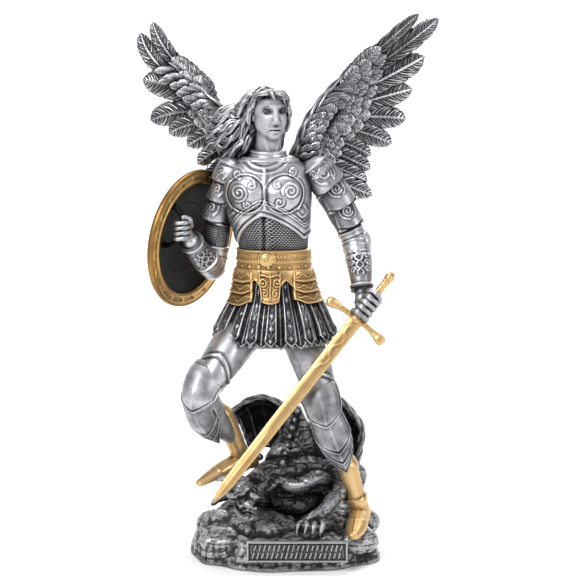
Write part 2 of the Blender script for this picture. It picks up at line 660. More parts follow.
def makeSkirt():
    v = strapValues
    bm = newMesh()

    def kilt(s, t, h):
        fold = np.abs(((t - v["turn"]) * v["pleats"] / 360) % 1 - 0.5) * 2
        hem = 0.5 * ridge((s - 0.985) * 58, 0.8)
        return -2.9 - 0.5 * s + v["pleatDepth"] * (0.4 + 0.8 * s) * fold**0.7 + hem

    sleeve(bm, onSkirt, v["kiltTop"], v["kiltBottom"], kilt, v["kiltColumns"], 26, bite=9)
    kinds = ((0, 0, v["half"], v["bottom"], 2.4), (1, 180 / v["count"], v["underHalf"], v["under"], 0.3))
    for k in range(v["count"]):
        degrees = v["turn"] + k * 360 / v["count"]
        rise = 6 * (1 - math.cos(math.radians(degrees))) * 0.5
        lower = 2.2 * math.sin(k * 2.4)
        for kind, shift, half, bottom, base in kinds:

            def place(u, s, o, middle=degrees + shift, half=half, low=bottom + rise, lower=lower):
                across = 2 * u - 1
                drop = 4.2 * np.abs(across) ** 1.3 * step(s, 0.82, 1.0)
                height = v["top"] + (low - 2.4 - v["top"]) * s + drop
                swing = 0.5 * np.sin(s * 3.0 + lower) * s
                return onSkirt(height, middle + swing + half * across * (0.8 + 0.2 * s), o)

            def reliefAt(u, s, kind=kind, base=base, lower=lower):
                across = np.abs(2 * u - 1)
                down = s * 44
                rim = 0.75 * ridge((across - 0.84) * 3.4, 0.42)
                cell = np.abs((down / 7.4 + 0.15 * lower) % 1 - 0.5) * 7.4
                jewel = 0.75 * np.clip(1 - across * 1.9 - np.abs(cell) / 2.3, 0, 1)
                middle = 0.5 * ridge(across * 3.4, 0.4) if kind else 0
                tip = 0.7 * ridge((1 - s) * 44 - 0.9, 0.7)
                lift = 0.9 * s**2 + 0.5 * np.sin(down * 0.16 + lower)
                sunk = 1.5 * (1 - step(s, 0.3, 0.62))
                lace = 0.09 * np.cos((across * 4.6 + down * 0.8) * 2) * (across < 0.75) * (jewel <= 0)
                return base + rim + jewel * (1 - kind) + middle + tip + lift * 0.8 - sunk + lace

            patch(bm, place, reliefAt, 10, 46, floor=base - 2.6, backing=2)
    shade(bm, v["shade"])
    finishPiece("figure_skirt", bm, "archangel_figure", silver)


makeTrunk()
makeBelt()
makeSkirt()


armValues = {
    "rightUpper": ((-31, 3, 248, 9, 9), (-38, 4, 230, 8.2, 8.6), (-41, 4, 208, 7.4, 8),
                   (-43, 3, 188, 6.6, 7)),
    "rightFore": ((-43, 3, 186, 7, 7), (-51, -8, 196, 7.2, 6.8), (-57, -18, 206, 5, 5)),
    "leftUpper": ((22, 3, 248, 9, 9), (32, 4, 232, 9, 9), (41, 4, 215, 8, 8), (46.5, 3, 203, 7, 7)),
    "leftFore": ((46.5, 3, 204, 7.4, 7.4), (49, -4, 190, 7.4, 7.2), (50.5, -12, 174, 5, 5)),
    "beads": 28, "beadOut": 0.5, "beadPitch": 1.15, "shade": 0.3, "underMail": 1.4,
    "shoulders": (((-32, 1, 247), (9.8, 11.6, 10.2)), ((24, 0, 247.0), (10.8, 12.2, 10.8))),
    "lobes": ((240, 253, 10.1), (228, 242, 9.5), (216, 230, 8.7)),
    "lobeLines": (((0, 6.4, 3.4, 1.5, 90, 1),),
                  (((-5, 2.2), (-4.4, 8), (-1.2, 11.4)), ((4.6, 2), (5.4, 7), (3.4, 11)))),
    "lames": (((19.5, 0, 252), (31.5, -1, 238), 11.4, "bigLines", 5.0),
              ((29, -1, 243), (39, -1, 226), 9.5, "smallLines", 4.2),
              ((37, 0, 229), (44.6, -1, 213), 8.2, "smallLines", 2.6)),
    "bigLines": (((0.5, 8.4, 4.6, 1.8, 60, -1), (-5.6, 4.6, 2.4, 1.2, 200, 1)),
                 (((5.6, 2), (7.4, 7), (6, 12), (2.6, 14.4)), ((-7.6, 8), (-6, 12), (-2.6, 14.6)))),
    "smallLines": (((0, 6.6, 3.6, 1.6, 30, 1),),
                   (((-6, 3), (-5, 9), (-1, 12)), ((6, 3), (5.4, 9), (2.6, 11.6)))),
}


def mailTube(bm, rows, low=0.0, high=1.0, beads=None, shrink=0.0):
    v = armValues
    beads = beads or v["beads"]
    spine = spineOf(rows)
    count = int(spine["length"] * (high - low) / v["beadPitch"] * 3)

    def links(s, t, h):
        crease = 0.5 * np.sin(h * spine["length"] * 0.42 + np.radians(t) * 1.5)
        beaded = mail(t * beads / 360, h * spine["length"] / v["beadPitch"])
        return v["beadOut"] * beaded + 0.4 * crease - shrink

    sleeve(bm, lambda h, t, o: onSpine(spine, h, t, o), low, high, links, beads * 4, count)


def scrolledPlate(bm, spine, top, bottom, lines, thick=1.2, columns=120, rows=40, middle=0.0, rim=0.7,
                  lowPoint=0.0):
    columns, rows = int(columns * 0.76), int(rows * 0.82)
    length = spine["length"]
    girth = spine["table"][:, 3:5].mean() + thick

    def low(t):
        turned = bearing(t, middle)
        return bottom + lowPoint / length * np.clip(1 - np.abs(turned) / 70, 0, 1)

    def carve(s, t, h):
        turned = bearing(t, middle)
        x = turned * math.pi / 180 * girth
        down = (h - top) * length
        left = (low(t) - h) * length
        out = thick + rim * ridge(down - 0.8, 0.6) + rim * ridge(left - 0.8, 0.65)
        out = out - 0.3 * ridge(left - 2.2, 0.5)
        if lines:
            raised = 0.6 * ridge(nearest(x, down, lines), 0.55)
            out = out + raised * step(left, 1.2, 2.0) * step(down, 1.0, 1.8)
        return out

    sleeve(bm, lambda h, t, o: onSpine(spine, h, t, o), top, low, carve, columns, rows)


def makeArms():
    v = armValues
    bm = newMesh()
    mailTube(bm, v["rightUpper"], 0.2, 1.0)
    mailTube(bm, v["leftUpper"], 0.3, 1.0)
    finishPiece("figure_sleeves", bm, "archangel_figure", mailMetal)
    bm = newMesh()
    right, left = spineOf(v["rightUpper"]), spineOf(v["leftUpper"])
    for key in ("rightUpper", "leftUpper"):
        tube(bm, [(x, y, z, a - v["underMail"], b - v["underMail"]) for x, y, z, a, b in v[key]], sides=24)
    rightShoulder, leftShoulder = v["shoulders"]
    ball(bm, *rightShoulder, 4)
    lobes = linesOf(*v["lobeLines"])
    for low, high, wide in v["lobes"]:
        rows = ((-30 - (254 - high) * 0.33, 1, high, wide * 0.86, wide),
                (-31 - (254 - low) * 0.33, 1, low, wide, wide * 1.04))
        scrolledPlate(bm, spineOf(rows), 0, 1, lobes, 0.4, 110, 34, middle=-35, rim=0.6, lowPoint=3.2)
    ball(bm, *leftShoulder, 4)
    for upper, lower, wide, lines, drop in v["lames"]:
        spine = spineOf(((*upper, wide * 0.86, wide * 0.96), (*lower, wide, wide * 1.02)))
        scrolledPlate(bm, spine, 0, 1, linesOf(*v[lines]), 0.4, 130, 44, middle=12, rim=0.7, lowPoint=drop)
    for spine, where in ((right, 0.86), (left, 0.9)):
        scrolledPlate(bm, spine, where - 0.06, where + 0.08, None, 1.0, 80, 14, rim=0.6)
    vine = [curve(*((2.2 * math.sin(k * 1.05 + turned), 1.8 + k * 1.7) for k in range(12)))
            for turned in (0, math.pi)]
    vine += [spiral(side * (5.2 - 0.5 * (k % 2)), 4.2 + 4.4 * k, 2.0, 1.2, 90 + 90 * side, side)
             for k in range(4) for side in (-1, 1)]
    for key, middle in (("rightFore", 10), ("leftFore", 0)):
        spine = spineOf(v[key])
        tube(bm, v[key], sides=28)
        scrolledPlate(bm, spine, 0.14, 0.97, vine, 0.9, 120, 70, middle=middle, rim=0.8)
        scrolledPlate(bm, spine, 0.9, 1.04, None, 1.9, 90, 14, middle=middle, rim=0.6)
    ball(bm, (-44.5, 3, 185.5), (7.4, 7.8, 7.4), 4)
    elbow = spineOf(((-44.0, 2, 187, 7.2, 7.2), (-45.5, -1, 189, 8.2, 7.9), (-48.5, -6, 193, 7.8, 7.6)))
    scrolledPlate(bm, elbow, 0, 1, None, 0.5, 90, 24, rim=0.7)
    ball(bm, (52, 3, 201), (5.2, 6.8, 9.8), 4)
    elbow = spineOf(((46.6, 2.4, 203, 7.8, 7.8), (47.6, 0, 198, 8.3, 8.2), (48.8, -2.6, 192.5, 7.9, 7.8)))
    scrolledPlate(bm, elbow, 0, 1, None, 0.5, 90, 28, rim=0.7)
    shade(bm, v["shade"])
    finishPiece("figure_arms", bm, "archangel_figure", silver)


handValues = {
    "rightPalm": (-60.0, -21.4, 214), "rightRadii": (4.8, 4.8, 7.6), "leftPalm": (50.4, -16.6, 167.4),
    "leftRadii": (5.0, 4.4, 6.8),
    "rightMiddle": (-61.2, -24.6, 213.2), "rightScale": 0.8,
    "finger": 2.15, "pitch": 4.0, "rightRow": 208.4, "grip": (47, -22, 157.3),
    "gripRun": (0.617, 0.21, 0.758), "firstFinger": 3.0, "thumbUp": 17, "shade": -0.45,
    "rightWrist": ((-55, -15.5, 203.5, 4.4, 4.2), (-58.2, -19.4, 208.6, 4.2, 4.0),
                   (-60, -22, 213.4, 3.6, 4.0)),
    "leftWrist": ((50.4, -12.0, 175, 4.6, 4.4), (50.6, -14.8, 170, 5.0, 4.6), (50.4, -17.6, 165.6, 4.6, 4.2)),
    "rightFinger": ((-56.6, -25.0, 0), (-59.4, -28.2, 0.3), (-64.2, -28.6, 0.8), (-67.2, -25.2, 1.2),
                    (-66.2, -21.6, 1.4)),
    "rightThumb": ((-57.6, -19, 213), (-55.4, -23.0, 218), (-56.2, -26.2, 222.4), (-58.6, -28.2, 224.0),
                   (-61.0, -28.4, 224.0)),
    "leftFinger": ((-5.0, 0.2), (-3.4, 4.0), (0.9, 5.2), (4.5, 2.6), (4.6, -1.6)),
    "leftThumb": ((-4.8, -2.2, -1), (-4.4, 2.4, 1.6), (-1.4, 4.8, 2.4), (2.4, 4.8, 1.4), (4.2, 3.6, -0.6)),
    "joints": (0.96, 1.08, 1.0, 0.94, 0.86),
}


def finger(bm, points, radius):
    rows = [(*p, radius * size, radius * size * 0.94) for p, size in zip(points, handValues["joints"])]

    def joints(share, turn):
        return 0.24 * np.cos((share - 0.28) * 17) * step(share, 0.1, 0.2) - 0.05

    tube(bm, rows, sides=18, front=(0, 0, 1), spacing=0.7, out=joints)


def makeHands():
    v = handValues
    bm = newMesh()
    size = v["finger"]
    tube(bm, v["rightWrist"], sides=24)
    wristVerts = len(bm.verts)
    ball(bm, v["rightPalm"], v["rightRadii"], 4)
    for k in range(4):
        z = v["rightRow"] + v["pitch"] * k
        finger(bm, [(x, y, z - drop) for x, y, drop in v["rightFinger"]], size)
    finger(bm, v["rightThumb"], size)
    pivot = Matrix.Translation(v["rightMiddle"])
    fist = pivot @ Matrix.Scale(v["rightScale"], 4) @ pivot.inverted()
    bmesh.ops.transform(bm, matrix=fist, verts=list(bm.verts)[wristVerts:])
    ball(bm, v["leftPalm"], v["leftRadii"], 4)
    tube(bm, v["leftWrist"], sides=24)
    along = Vector(v["gripRun"]).normalized()
    front = Vector((0, -1, 0))
    front = (front - along * front.dot(along)).normalized()
    side = along.cross(front)
    for k in range(4):
        middle = Vector(v["grip"]) + along * (v["firstFinger"] + v["pitch"] * k)
        finger(bm, [middle + side * a + front * (b + 0.3) for a, b in v["leftFinger"]], size)
    middle = Vector(v["grip"]) + along * v["thumbUp"]
    finger(bm, [middle + side * a + front * b + along * c for a, b, c in v["leftThumb"]], size)
    shade(bm, v["shade"])
    finishPiece("figure_hands", bm, "archangel_figure", silver)


legValues = {
    "leftThigh": ((8, 0, 156, 15, 15), (14, -6, 138, 12.6, 13), (20.5, -12, 121, 11.6, 12),
                  (27, -19, 98, 9, 9.4)),
    "leftShin": ((27, -19, 98, 9, 9.4), (33, -17, 82, 9.4, 9.8), (38, -16, 68, 7.6, 8.4),
                 (42, -15, 57, 6.2, 6.8)),
    "rightThigh": ((-16, 0, 156, 15, 15), (-28, -10, 143, 13.4, 14), (-38, -20, 130, 12.4, 13),
                   (-50, -31, 113, 9.2, 9.8)),
    "rightShin": ((-50, -31, 112, 9.2, 9.4), (-45, -20, 98, 8.6, 8.8), (-38, -11.4, 85, 6.6, 7.6),
                  (-34.6, -6.5, 79, 5.4, 6.2)),
    "leftKnee": (((21.0, -15.4, 113.6, 12.0, 8.0), (24.6, -20.4, 106, 11.0, 7.4), (26.6, -23.6, 97, 9.2, 6.0),
                  (28.6, -24.6, 88, 6.4, 4.4)), 0),
    "rightKnee": (((-43.6, -25.0, 124.6, 12.2, 8.6), (-48.4, -31.4, 117.6, 11.2, 7.6),
                   (-51.6, -35, 109.6, 9.6, 6.4),
                   (-52.6, -34.0, 101.6, 6.6, 5.0)), -24),
    "leftGreave": (((26.4, -22.6, 98, 8.8, 5.8), (32.4, -23.6, 83, 9.6, 5.2), (37.8, -22.8, 68, 7.2, 4.4),
                    (41.4, -22.0, 58.4, 1.8, 2.6)), 0),
    "rightGreave": (((-52.8, -31.0, 109, 8.8, 7.2), (-49.4, -24.4, 96, 8.8, 6.8),
                     (-43.6, -17.4, 85.2, 6.8, 5.6),
                     (-39.2, -13, 77.4, 1.8, 2.8)), -24),
    "kneePlates": ((0.0, 0.5, 4.0, 0.5), (0.16, 1.0, 9.0, 1.3)),
    "greavePlates": ((0.0, 1.0, 15.0, 0.2), (0.0, 0.84, 14.0, 0.8), (0.0, 0.66, 12.0, 1.4)),
}


# Plates lapped one over another on a form, each ending in a raised rim with a point in its middle
def lappedPlates(bm, rows, middle, plates, reach=86):
    spine = spineOf(rows)
    length = spine["length"]
    for top, bottom, point, thick in plates:

        def place(u, s, o, top=top, bottom=bottom, point=point):
            low = bottom - point / length * np.abs(2 * u - 1) ** 1.3
            return onSpine(spine, top + (low - top) * s, middle + reach * (2 * u - 1), o)

        def relief(u, s, top=top, bottom=bottom, thick=thick):
            down = (1 - s) * (bottom - top) * length
            side = np.minimum(u, 1 - u) * 2 * math.radians(reach) * 9
            edge = np.minimum(down, side)
            out = thick + 0.5 * s + 0.5 * ridge(edge - 0.8, 0.6) - 0.25 * ridge(edge - 2.2, 0.6)
            return out + 0.2 * ridge((2 * u - 1) * 12, 0.8) * s

        patch(bm, place, relief, 48, int((bottom - top) * length / 0.72), floor=-2.2, backing=8)


def makeLegs():
    v = legValues
    bm = newMesh()
    for key, middle in (("leftThigh", 10), ("rightThigh", -20)):
        spine = spineOf(v[key])
        length = spine["length"]

        def plate(share, turn, middle=middle, length=length):
            turned = bearing(turn, middle)
            down = share * length - 41 - 8 * np.clip(np.abs(turned) / 75, 0, 1) ** 1.3
            border = 0.6 * ridge(down, 1.0) - 0.3 * ridge(down - 2.4, 0.9)
            seams = 0.35 * ridge(np.abs(turned) * 0.2 - 16, 0.8)
            muscle = 0.35 * np.cos(np.radians(turned) * 3) * np.sin(share * 5)
            return border + seams + muscle + 0.5 * step(down, -1.2, 0.6)

        tube(bm, v[key], sides=72, spacing=0.9, out=plate)
    for key in ("leftShin", "rightShin"):

        def calf(share, turn):
            turned = bearing(turn)
            return 0.4 * ridge((np.abs(turned) - 152) * 0.16, 0.8) + 0.25 * np.sin(share * 6)

        tube(bm, v[key], sides=64, spacing=1.0, out=calf)
    for middle, radii in (((25.4, -20.6, 98.5), (9.4, 7.6, 11.6)),
                          ((-50.4, -31.8, 111.2), (10.0, 8.2, 11.6))):
        ball(bm, middle, radii, 4)
    for key, plates in (("leftKnee", v["kneePlates"]), ("rightKnee", v["kneePlates"]),
                        ("leftGreave", v["greavePlates"]), ("rightGreave", v["greavePlates"])):
        rows, middle = v[key]
        lappedPlates(bm, rows, middle, plates)
    finishPiece("figure_legs", bm, "archangel_figure", silver)


bootValues = {
    "leftShaft": ((41.2, -15.8, 62, 7.0, 7.4), (45.6, -14.6, 47, 6.0, 6.6), (49.4, -12.4, 33, 6.4, 7.2),
                  (50.6, -11.4, 27, 6.2, 7)),
    "leftFoot": ((52.4, -4.6, 26.8, 5.6, 5), (50, -14, 28.6, 6.4, 6.6), (48.4, -24, 27, 6.6, 5.2),
                 (46.6, -33, 24.4, 6.4, 4.0),
                 (44.8, -41, 22.2, 3.4, 2.4)),
    "rightShaft": ((-38.5, -10, 95, 6.0, 7.0), (-33.5, -4.5, 82, 6.2, 7.0), (-27.4, 3, 64, 5.8, 6.5),
                   (-25.6, 6.2, 57, 6, 6.4)),
    "rightFoot": ((-19.6, 9.4, 57.4, 5, 4.6), (-27, 4, 59, 5.8, 6), (-36, -2.6, 56.4, 6.2, 5),
                  (-45, -8.4, 52.6, 5.4, 3.6),
                  (-53, -14, 49, 2.8, 2.2)),
    "cuffs": {"leftShaft": 0.62, "rightShaft": 0.86},
}


def makeBoots():
    v = bootValues
    bm = newMesh()
    for key in ("leftFoot", "rightFoot"):

        def leather(share, turn):
            turned = bearing(turn)
            over = frontOf(turn, -0.2, 0.3)
            seam = 0.5 * ridge(turned * 0.11, 0.45) * step(share, 0.3, 0.42)
            cap = 0.35 * ridge((share - 0.62 - 0.05 * np.cos(np.radians(turned))) * 34, 0.7)
            sole = 0.45 * ridge((np.abs(turned) - 118) * 0.1, 0.8)
            return seam + sole + cap * over - 0.35 * over * ridge((share - 0.4) * 20, 1.0)

        tube(bm, v[key], sides=48, front=(0, 0, 1), spacing=0.7, power=2.3, out=leather)
    for key, cuffAt in v["cuffs"].items():
        length = spineOf(v[key])["length"]

        def shaft(share, turn, length=length, cuffAt=cuffAt):
            down = share * length
            fold = 0.35 * np.sin(down * 0.5 + np.radians(turn) * 2) * step(share, 0.45, 0.8)
            seam = 0.4 * ridge(bearing(turn, 40) * 0.11, 0.5)
            cuff = 0.75 * step(share, cuffAt - 0.02, cuffAt) * (1 - step(share, cuffAt + 0.05, cuffAt + 0.16))
            return fold + seam * (1 - step(share, 0.5, 0.7)) + cuff + 0.6 * ridge(down - 0.6, 0.7)

        tube(bm, v[key], sides=56, spacing=0.7, out=shaft)
    finishPiece("figure_boots", bm, "archangel_figure", gold)


makeArms()
makeHands()
makeLegs()
makeBoots()


wingValues = {
    "right": {
        "feathers": (
            ((-47, 24, 300), (-77, 33, 317), (-83, 36, 341), 4.6),
            ((-46, 23, 295), (-86, 35, 309), (-91, 39, 334), 5.2),
            ((-42, 21, 288), (-68, 31, 301), (-90, 39, 304), 7.6),
            ((-38, 20, 282), (-64, 29, 288), (-85, 36, 278), 7.0),
            ((-35, 19, 277), (-56, 26, 280), (-73, 32, 270), 6.2),
            ((-32, 18, 272), (-48, 23, 272), (-61, 27, 262), 5.8),
            ((-29, 17, 264), (-42, 19, 262), (-54, 20, 251), 5.2),
            ((-27, 16, 257), (-38, 15, 254), (-48, 12, 244), 4.6),
            ((-26, 15, 250), (-35, 14, 246), (-44, 12, 237), 4.2),
        ),
        "edge": ((-14, 15, 246), (-25, 16, 262), (-32, 17, 277), (-42, 20, 290), (-56, 25, 303),
                 (-72, 31, 315)),
        "side": 1,
    },
    "left": {
        "feathers": (
            ((40, 24, 305), (66, 33, 327), (88, 42, 346), 3.8),
            ((37, 24, 299), (75, 35, 321), (101, 46, 343), 5.6),
            ((36, 23, 292), (66, 33, 304), (92, 43, 319), 7.2),
            ((35, 23, 286), (60, 32, 292), (84, 40, 298), 6.8),
            ((33, 22, 280), (58, 31, 282), (80, 38, 279), 6.6),
            ((30, 21, 275), (52, 29, 273), (71, 36, 263), 6.0),
            ((23, 20, 270), (42, 26, 265), (57, 31, 256), 5.4),
            ((18, 19, 264), (39, 25, 257), (57, 31, 247), 5.6),
            ((14, 18, 258), (36, 24, 249), (55, 30, 239), 5.6),
            ((11, 17, 252), (35, 23, 240), (58, 30, 230), 6.4),
        ),
        "edge": ((3, 15, 246), (9, 16, 260), (15, 18, 276), (24, 20, 290), (37, 24, 304), (54, 29, 315)),
        "side": -1,
    },
    "barb": 1.9, "barbDepth": 0.95, "thick": 1.0, "spread": 1.14,
    "layers": ((0.46, 6.6, 0.9), (0.31, 5.8, 2.1), (0.17, 4.8, 3.0)), "perFeather": 1.3,
    "edgeRows": ((11.5, 1.2, 3.4), (9.5, 6.4, 4.0)), "edgeEvery": 4, "edgeHalf": 3.1, "covertShade": -0.2,
}


def bezier(root, bend, tip, share):
    share = np.asarray(share, float)[..., None]
    a, b, c = (np.array(p, float) for p in (root, bend, tip))
    return a * (1 - share) ** 2 + 2 * b * share * (1 - share) + c * share**2


# One feather: rows of the net run along the barbs, so that each barb is a ridge from the quill to the edge
def feather(bm, root, bend, tip, half, thick, seed, curl=0.0, lean=(0, -1, 0), barb=1.5, depth=0.6, columns=7,
            fine=3.0, shade=0.0):
    ends = np.array([root, bend, tip], float)
    length = np.linalg.norm(ends[1] - ends[0]) * 0.5 + np.linalg.norm(ends[2] - ends[0]) * 0.5 + 1.0
    count = max(5, int(length / barb))
    rows = int(count * fine)
    share = np.linspace(0, 1, rows + 1)[:, None]
    s = np.concatenate((np.linspace(-1, 1, 2 * columns + 1), np.linspace(1, -1, 2 * columns + 1)[1:-1]))[None]
    side = np.concatenate((np.ones(2 * columns + 1), -np.ones(2 * columns - 1)))[None]
    bow = np.sin(math.pi * np.clip(share, 0, 1)) ** 0.6
    stagger = 0.22 * np.abs(s) ** 1.4 + 0.012 * np.sin(share * 31 + seed + 3 * s)
    sheared = share + stagger * bow * (7 / max(length * 0.25, 7)) ** 0.3
    sheared = np.clip(sheared, 0, 1)
    point = bezier(*ends, sheared)
    along = unit(np.gradient(bezier(*ends, np.linspace(0, 1, 40)), axis=0))
    run = np.stack([np.interp(sheared, np.linspace(0, 1, 40), along[:, k]) for k in range(3)], axis=-1)
    across = unit(np.cross(run, np.array(lean, float)))
    normal = unit(np.cross(across, run))
    normal = np.where((normal @ np.array(lean, float))[..., None] < 0, -normal, normal)
    width = np.interp(sheared, (0, 0.12, 0.4, 0.7, 0.86, 0.95, 1), (0.45, 0.74, 0.98, 1.06, 0.9, 0.6, 0.05))
    phase = share * count
    groove = np.abs((phase % 1) - 0.5) * 2
    nicked = np.abs(((phase + seed) / 4.3) % 1 - 0.5) > 0.42
    notch = 0.16 * nicked * (np.abs(s) > 0.8) * step(share, 0.15, 0.3)
    wide = half * (width - notch - 0.07 * groove * (np.abs(s) > 0.9))
    flat = thick * np.sqrt(np.clip(1 - s**2, 0, 1)) ** 0.5
    carve = depth * (0.5 - groove) * step(np.abs(s), 0.08, 0.3) * step(1 - np.abs(s), -0.1, 0.12)
    quill = 0.95 * thick * ridge(s * half, 0.55 + 0 * share) * (1 - 0.65 * share)
    belly = 0.12 * half * (1 - s**2)
    wave = 0.5 * np.sin(share * 7 + seed * 2.1) * np.abs(s) * 0.6
    out = side * (flat + carve + quill) + belly + wave
    lift = curl * np.clip((sheared - 0.62) / 0.38, 0, 1) ** 2
    points = point + across * (wide * s)[..., None] + normal * (out + lift)[..., None]
    skin(bm, points, 0.2 * np.abs(s) - 0.5 + 0.9 * share + shade)


def makeWing(name, key, node):
    v = wingValues
    values = v[key]
    feathers, edge, side = values["feathers"], values["edge"], values["side"]
    bm = newMesh()
    rng = np.random.default_rng(7 if side > 0 else 11)

    def knobbly(share, turn):
        return 0.35 * np.sin(share * 46 + turn * 0.05) + 0.25 * np.sin(share * 21 + turn * 0.11)

    tube(bm, [(*p, 3.6 - 0.4 * i, 5.2 - 0.6 * i) for i, p in enumerate(edge)], sides=24, spacing=0.8,
         out=knobbly)
    tube(bm, [(x - side * 8, y + 1, z - 3, 9 - i, 2.6 - 0.3 * i) for i, (x, y, z) in enumerate(edge[:5])],
         sides=20)
    root = edge[0]
    tube(bm, ((root[0] + side, 13, 238, 4.4, 6), (root[0] - side, root[1], root[2] + 1, 4, 6),
              (*edge[1], 2.4, 3.4)), sides=20,
         out=knobbly)
    for k, (start, bend, tip, half) in enumerate(feathers):
        feather(bm, start, bend, tip, half * v["spread"], v["thick"], k + 0.3, barb=v["barb"],
                depth=v["barbDepth"], columns=6, fine=2.5)
    count = len(feathers)
    for layer, (reach, width, out) in enumerate(v["layers"]):
        for k in range(int((count - 1) * v["perFeather"]) + 1):
            where = min((k + (0.5 if layer % 2 else 0.0)) / v["perFeather"], count - 1)
            low = min(int(where), count - 2)
            mix = where - low
            a, b = feathers[low], feathers[low + 1]
            start, bend, tip = (np.array(p, float) * (1 - mix) + np.array(q, float) * mix
                                for p, q in zip(a[:3], b[:3]))
            wide = width * (1 - 0.2 * abs(where / count - 0.3)) * (0.9 + 0.2 * rng.random())
            for face in (-1, 1):
                shift = np.array((0, face * out, 0))
                lean = (0.0, float(face), 0.0)
                near = bezier(start, bend, tip, -0.05 + 0.02 * layer) + shift * 0.7
                far = bezier(start, bend, tip, reach * (0.93 + 0.14 * rng.random())) + shift
                mid = bezier(start, bend, tip, reach / 2) + shift * 1.3
                feather(bm, near, mid, far, wide, 0.7, k * 1.3 + layer, curl=1.3 if face < 0 else 0.6,
                        lean=lean,
                        barb=1.5, depth=0.55, columns=3, fine=2.5 if face < 0 else 2.0,
                        shade=v["covertShade"])
    frontEdge = catmull(edge, 60)
    lay = np.gradient(frontEdge, axis=0)
    for row, (size, back, out) in enumerate(v["edgeRows"]):
        for i in range(3 + 2 * row, 57, v["edgeEvery"]):
            run = lay[i] / np.linalg.norm(lay[i])
            inward = np.cross(run, (0, -1, 0)) * side
            inward = inward if inward[2] < 0 else -inward
            spread = unit(run * 0.9 + inward * (0.55 + 0.35 * rng.random()))
            for face in (-1, 1):
                start = frontEdge[i] + inward * back + np.array((0, face * out * (1 - i / 90), 0))
                far = start + spread * size * (0.85 + 0.3 * rng.random())
                mid = (start + far) / 2 + np.array((0, face * 1.2, 0))
                feather(bm, start, mid, far, v["edgeHalf"], 0.7, i + row, curl=1.4, lean=(0, float(face), 0),
                        barb=1.3,
                        depth=0.45, columns=3, fine=2.2, shade=v["covertShade"])
    finishPiece(name, bm, node, featherMetal)


makeWing("right_wing_feathered", "right", "right_wing")
makeWing("left_wing_feathered", "left", "left_wing")


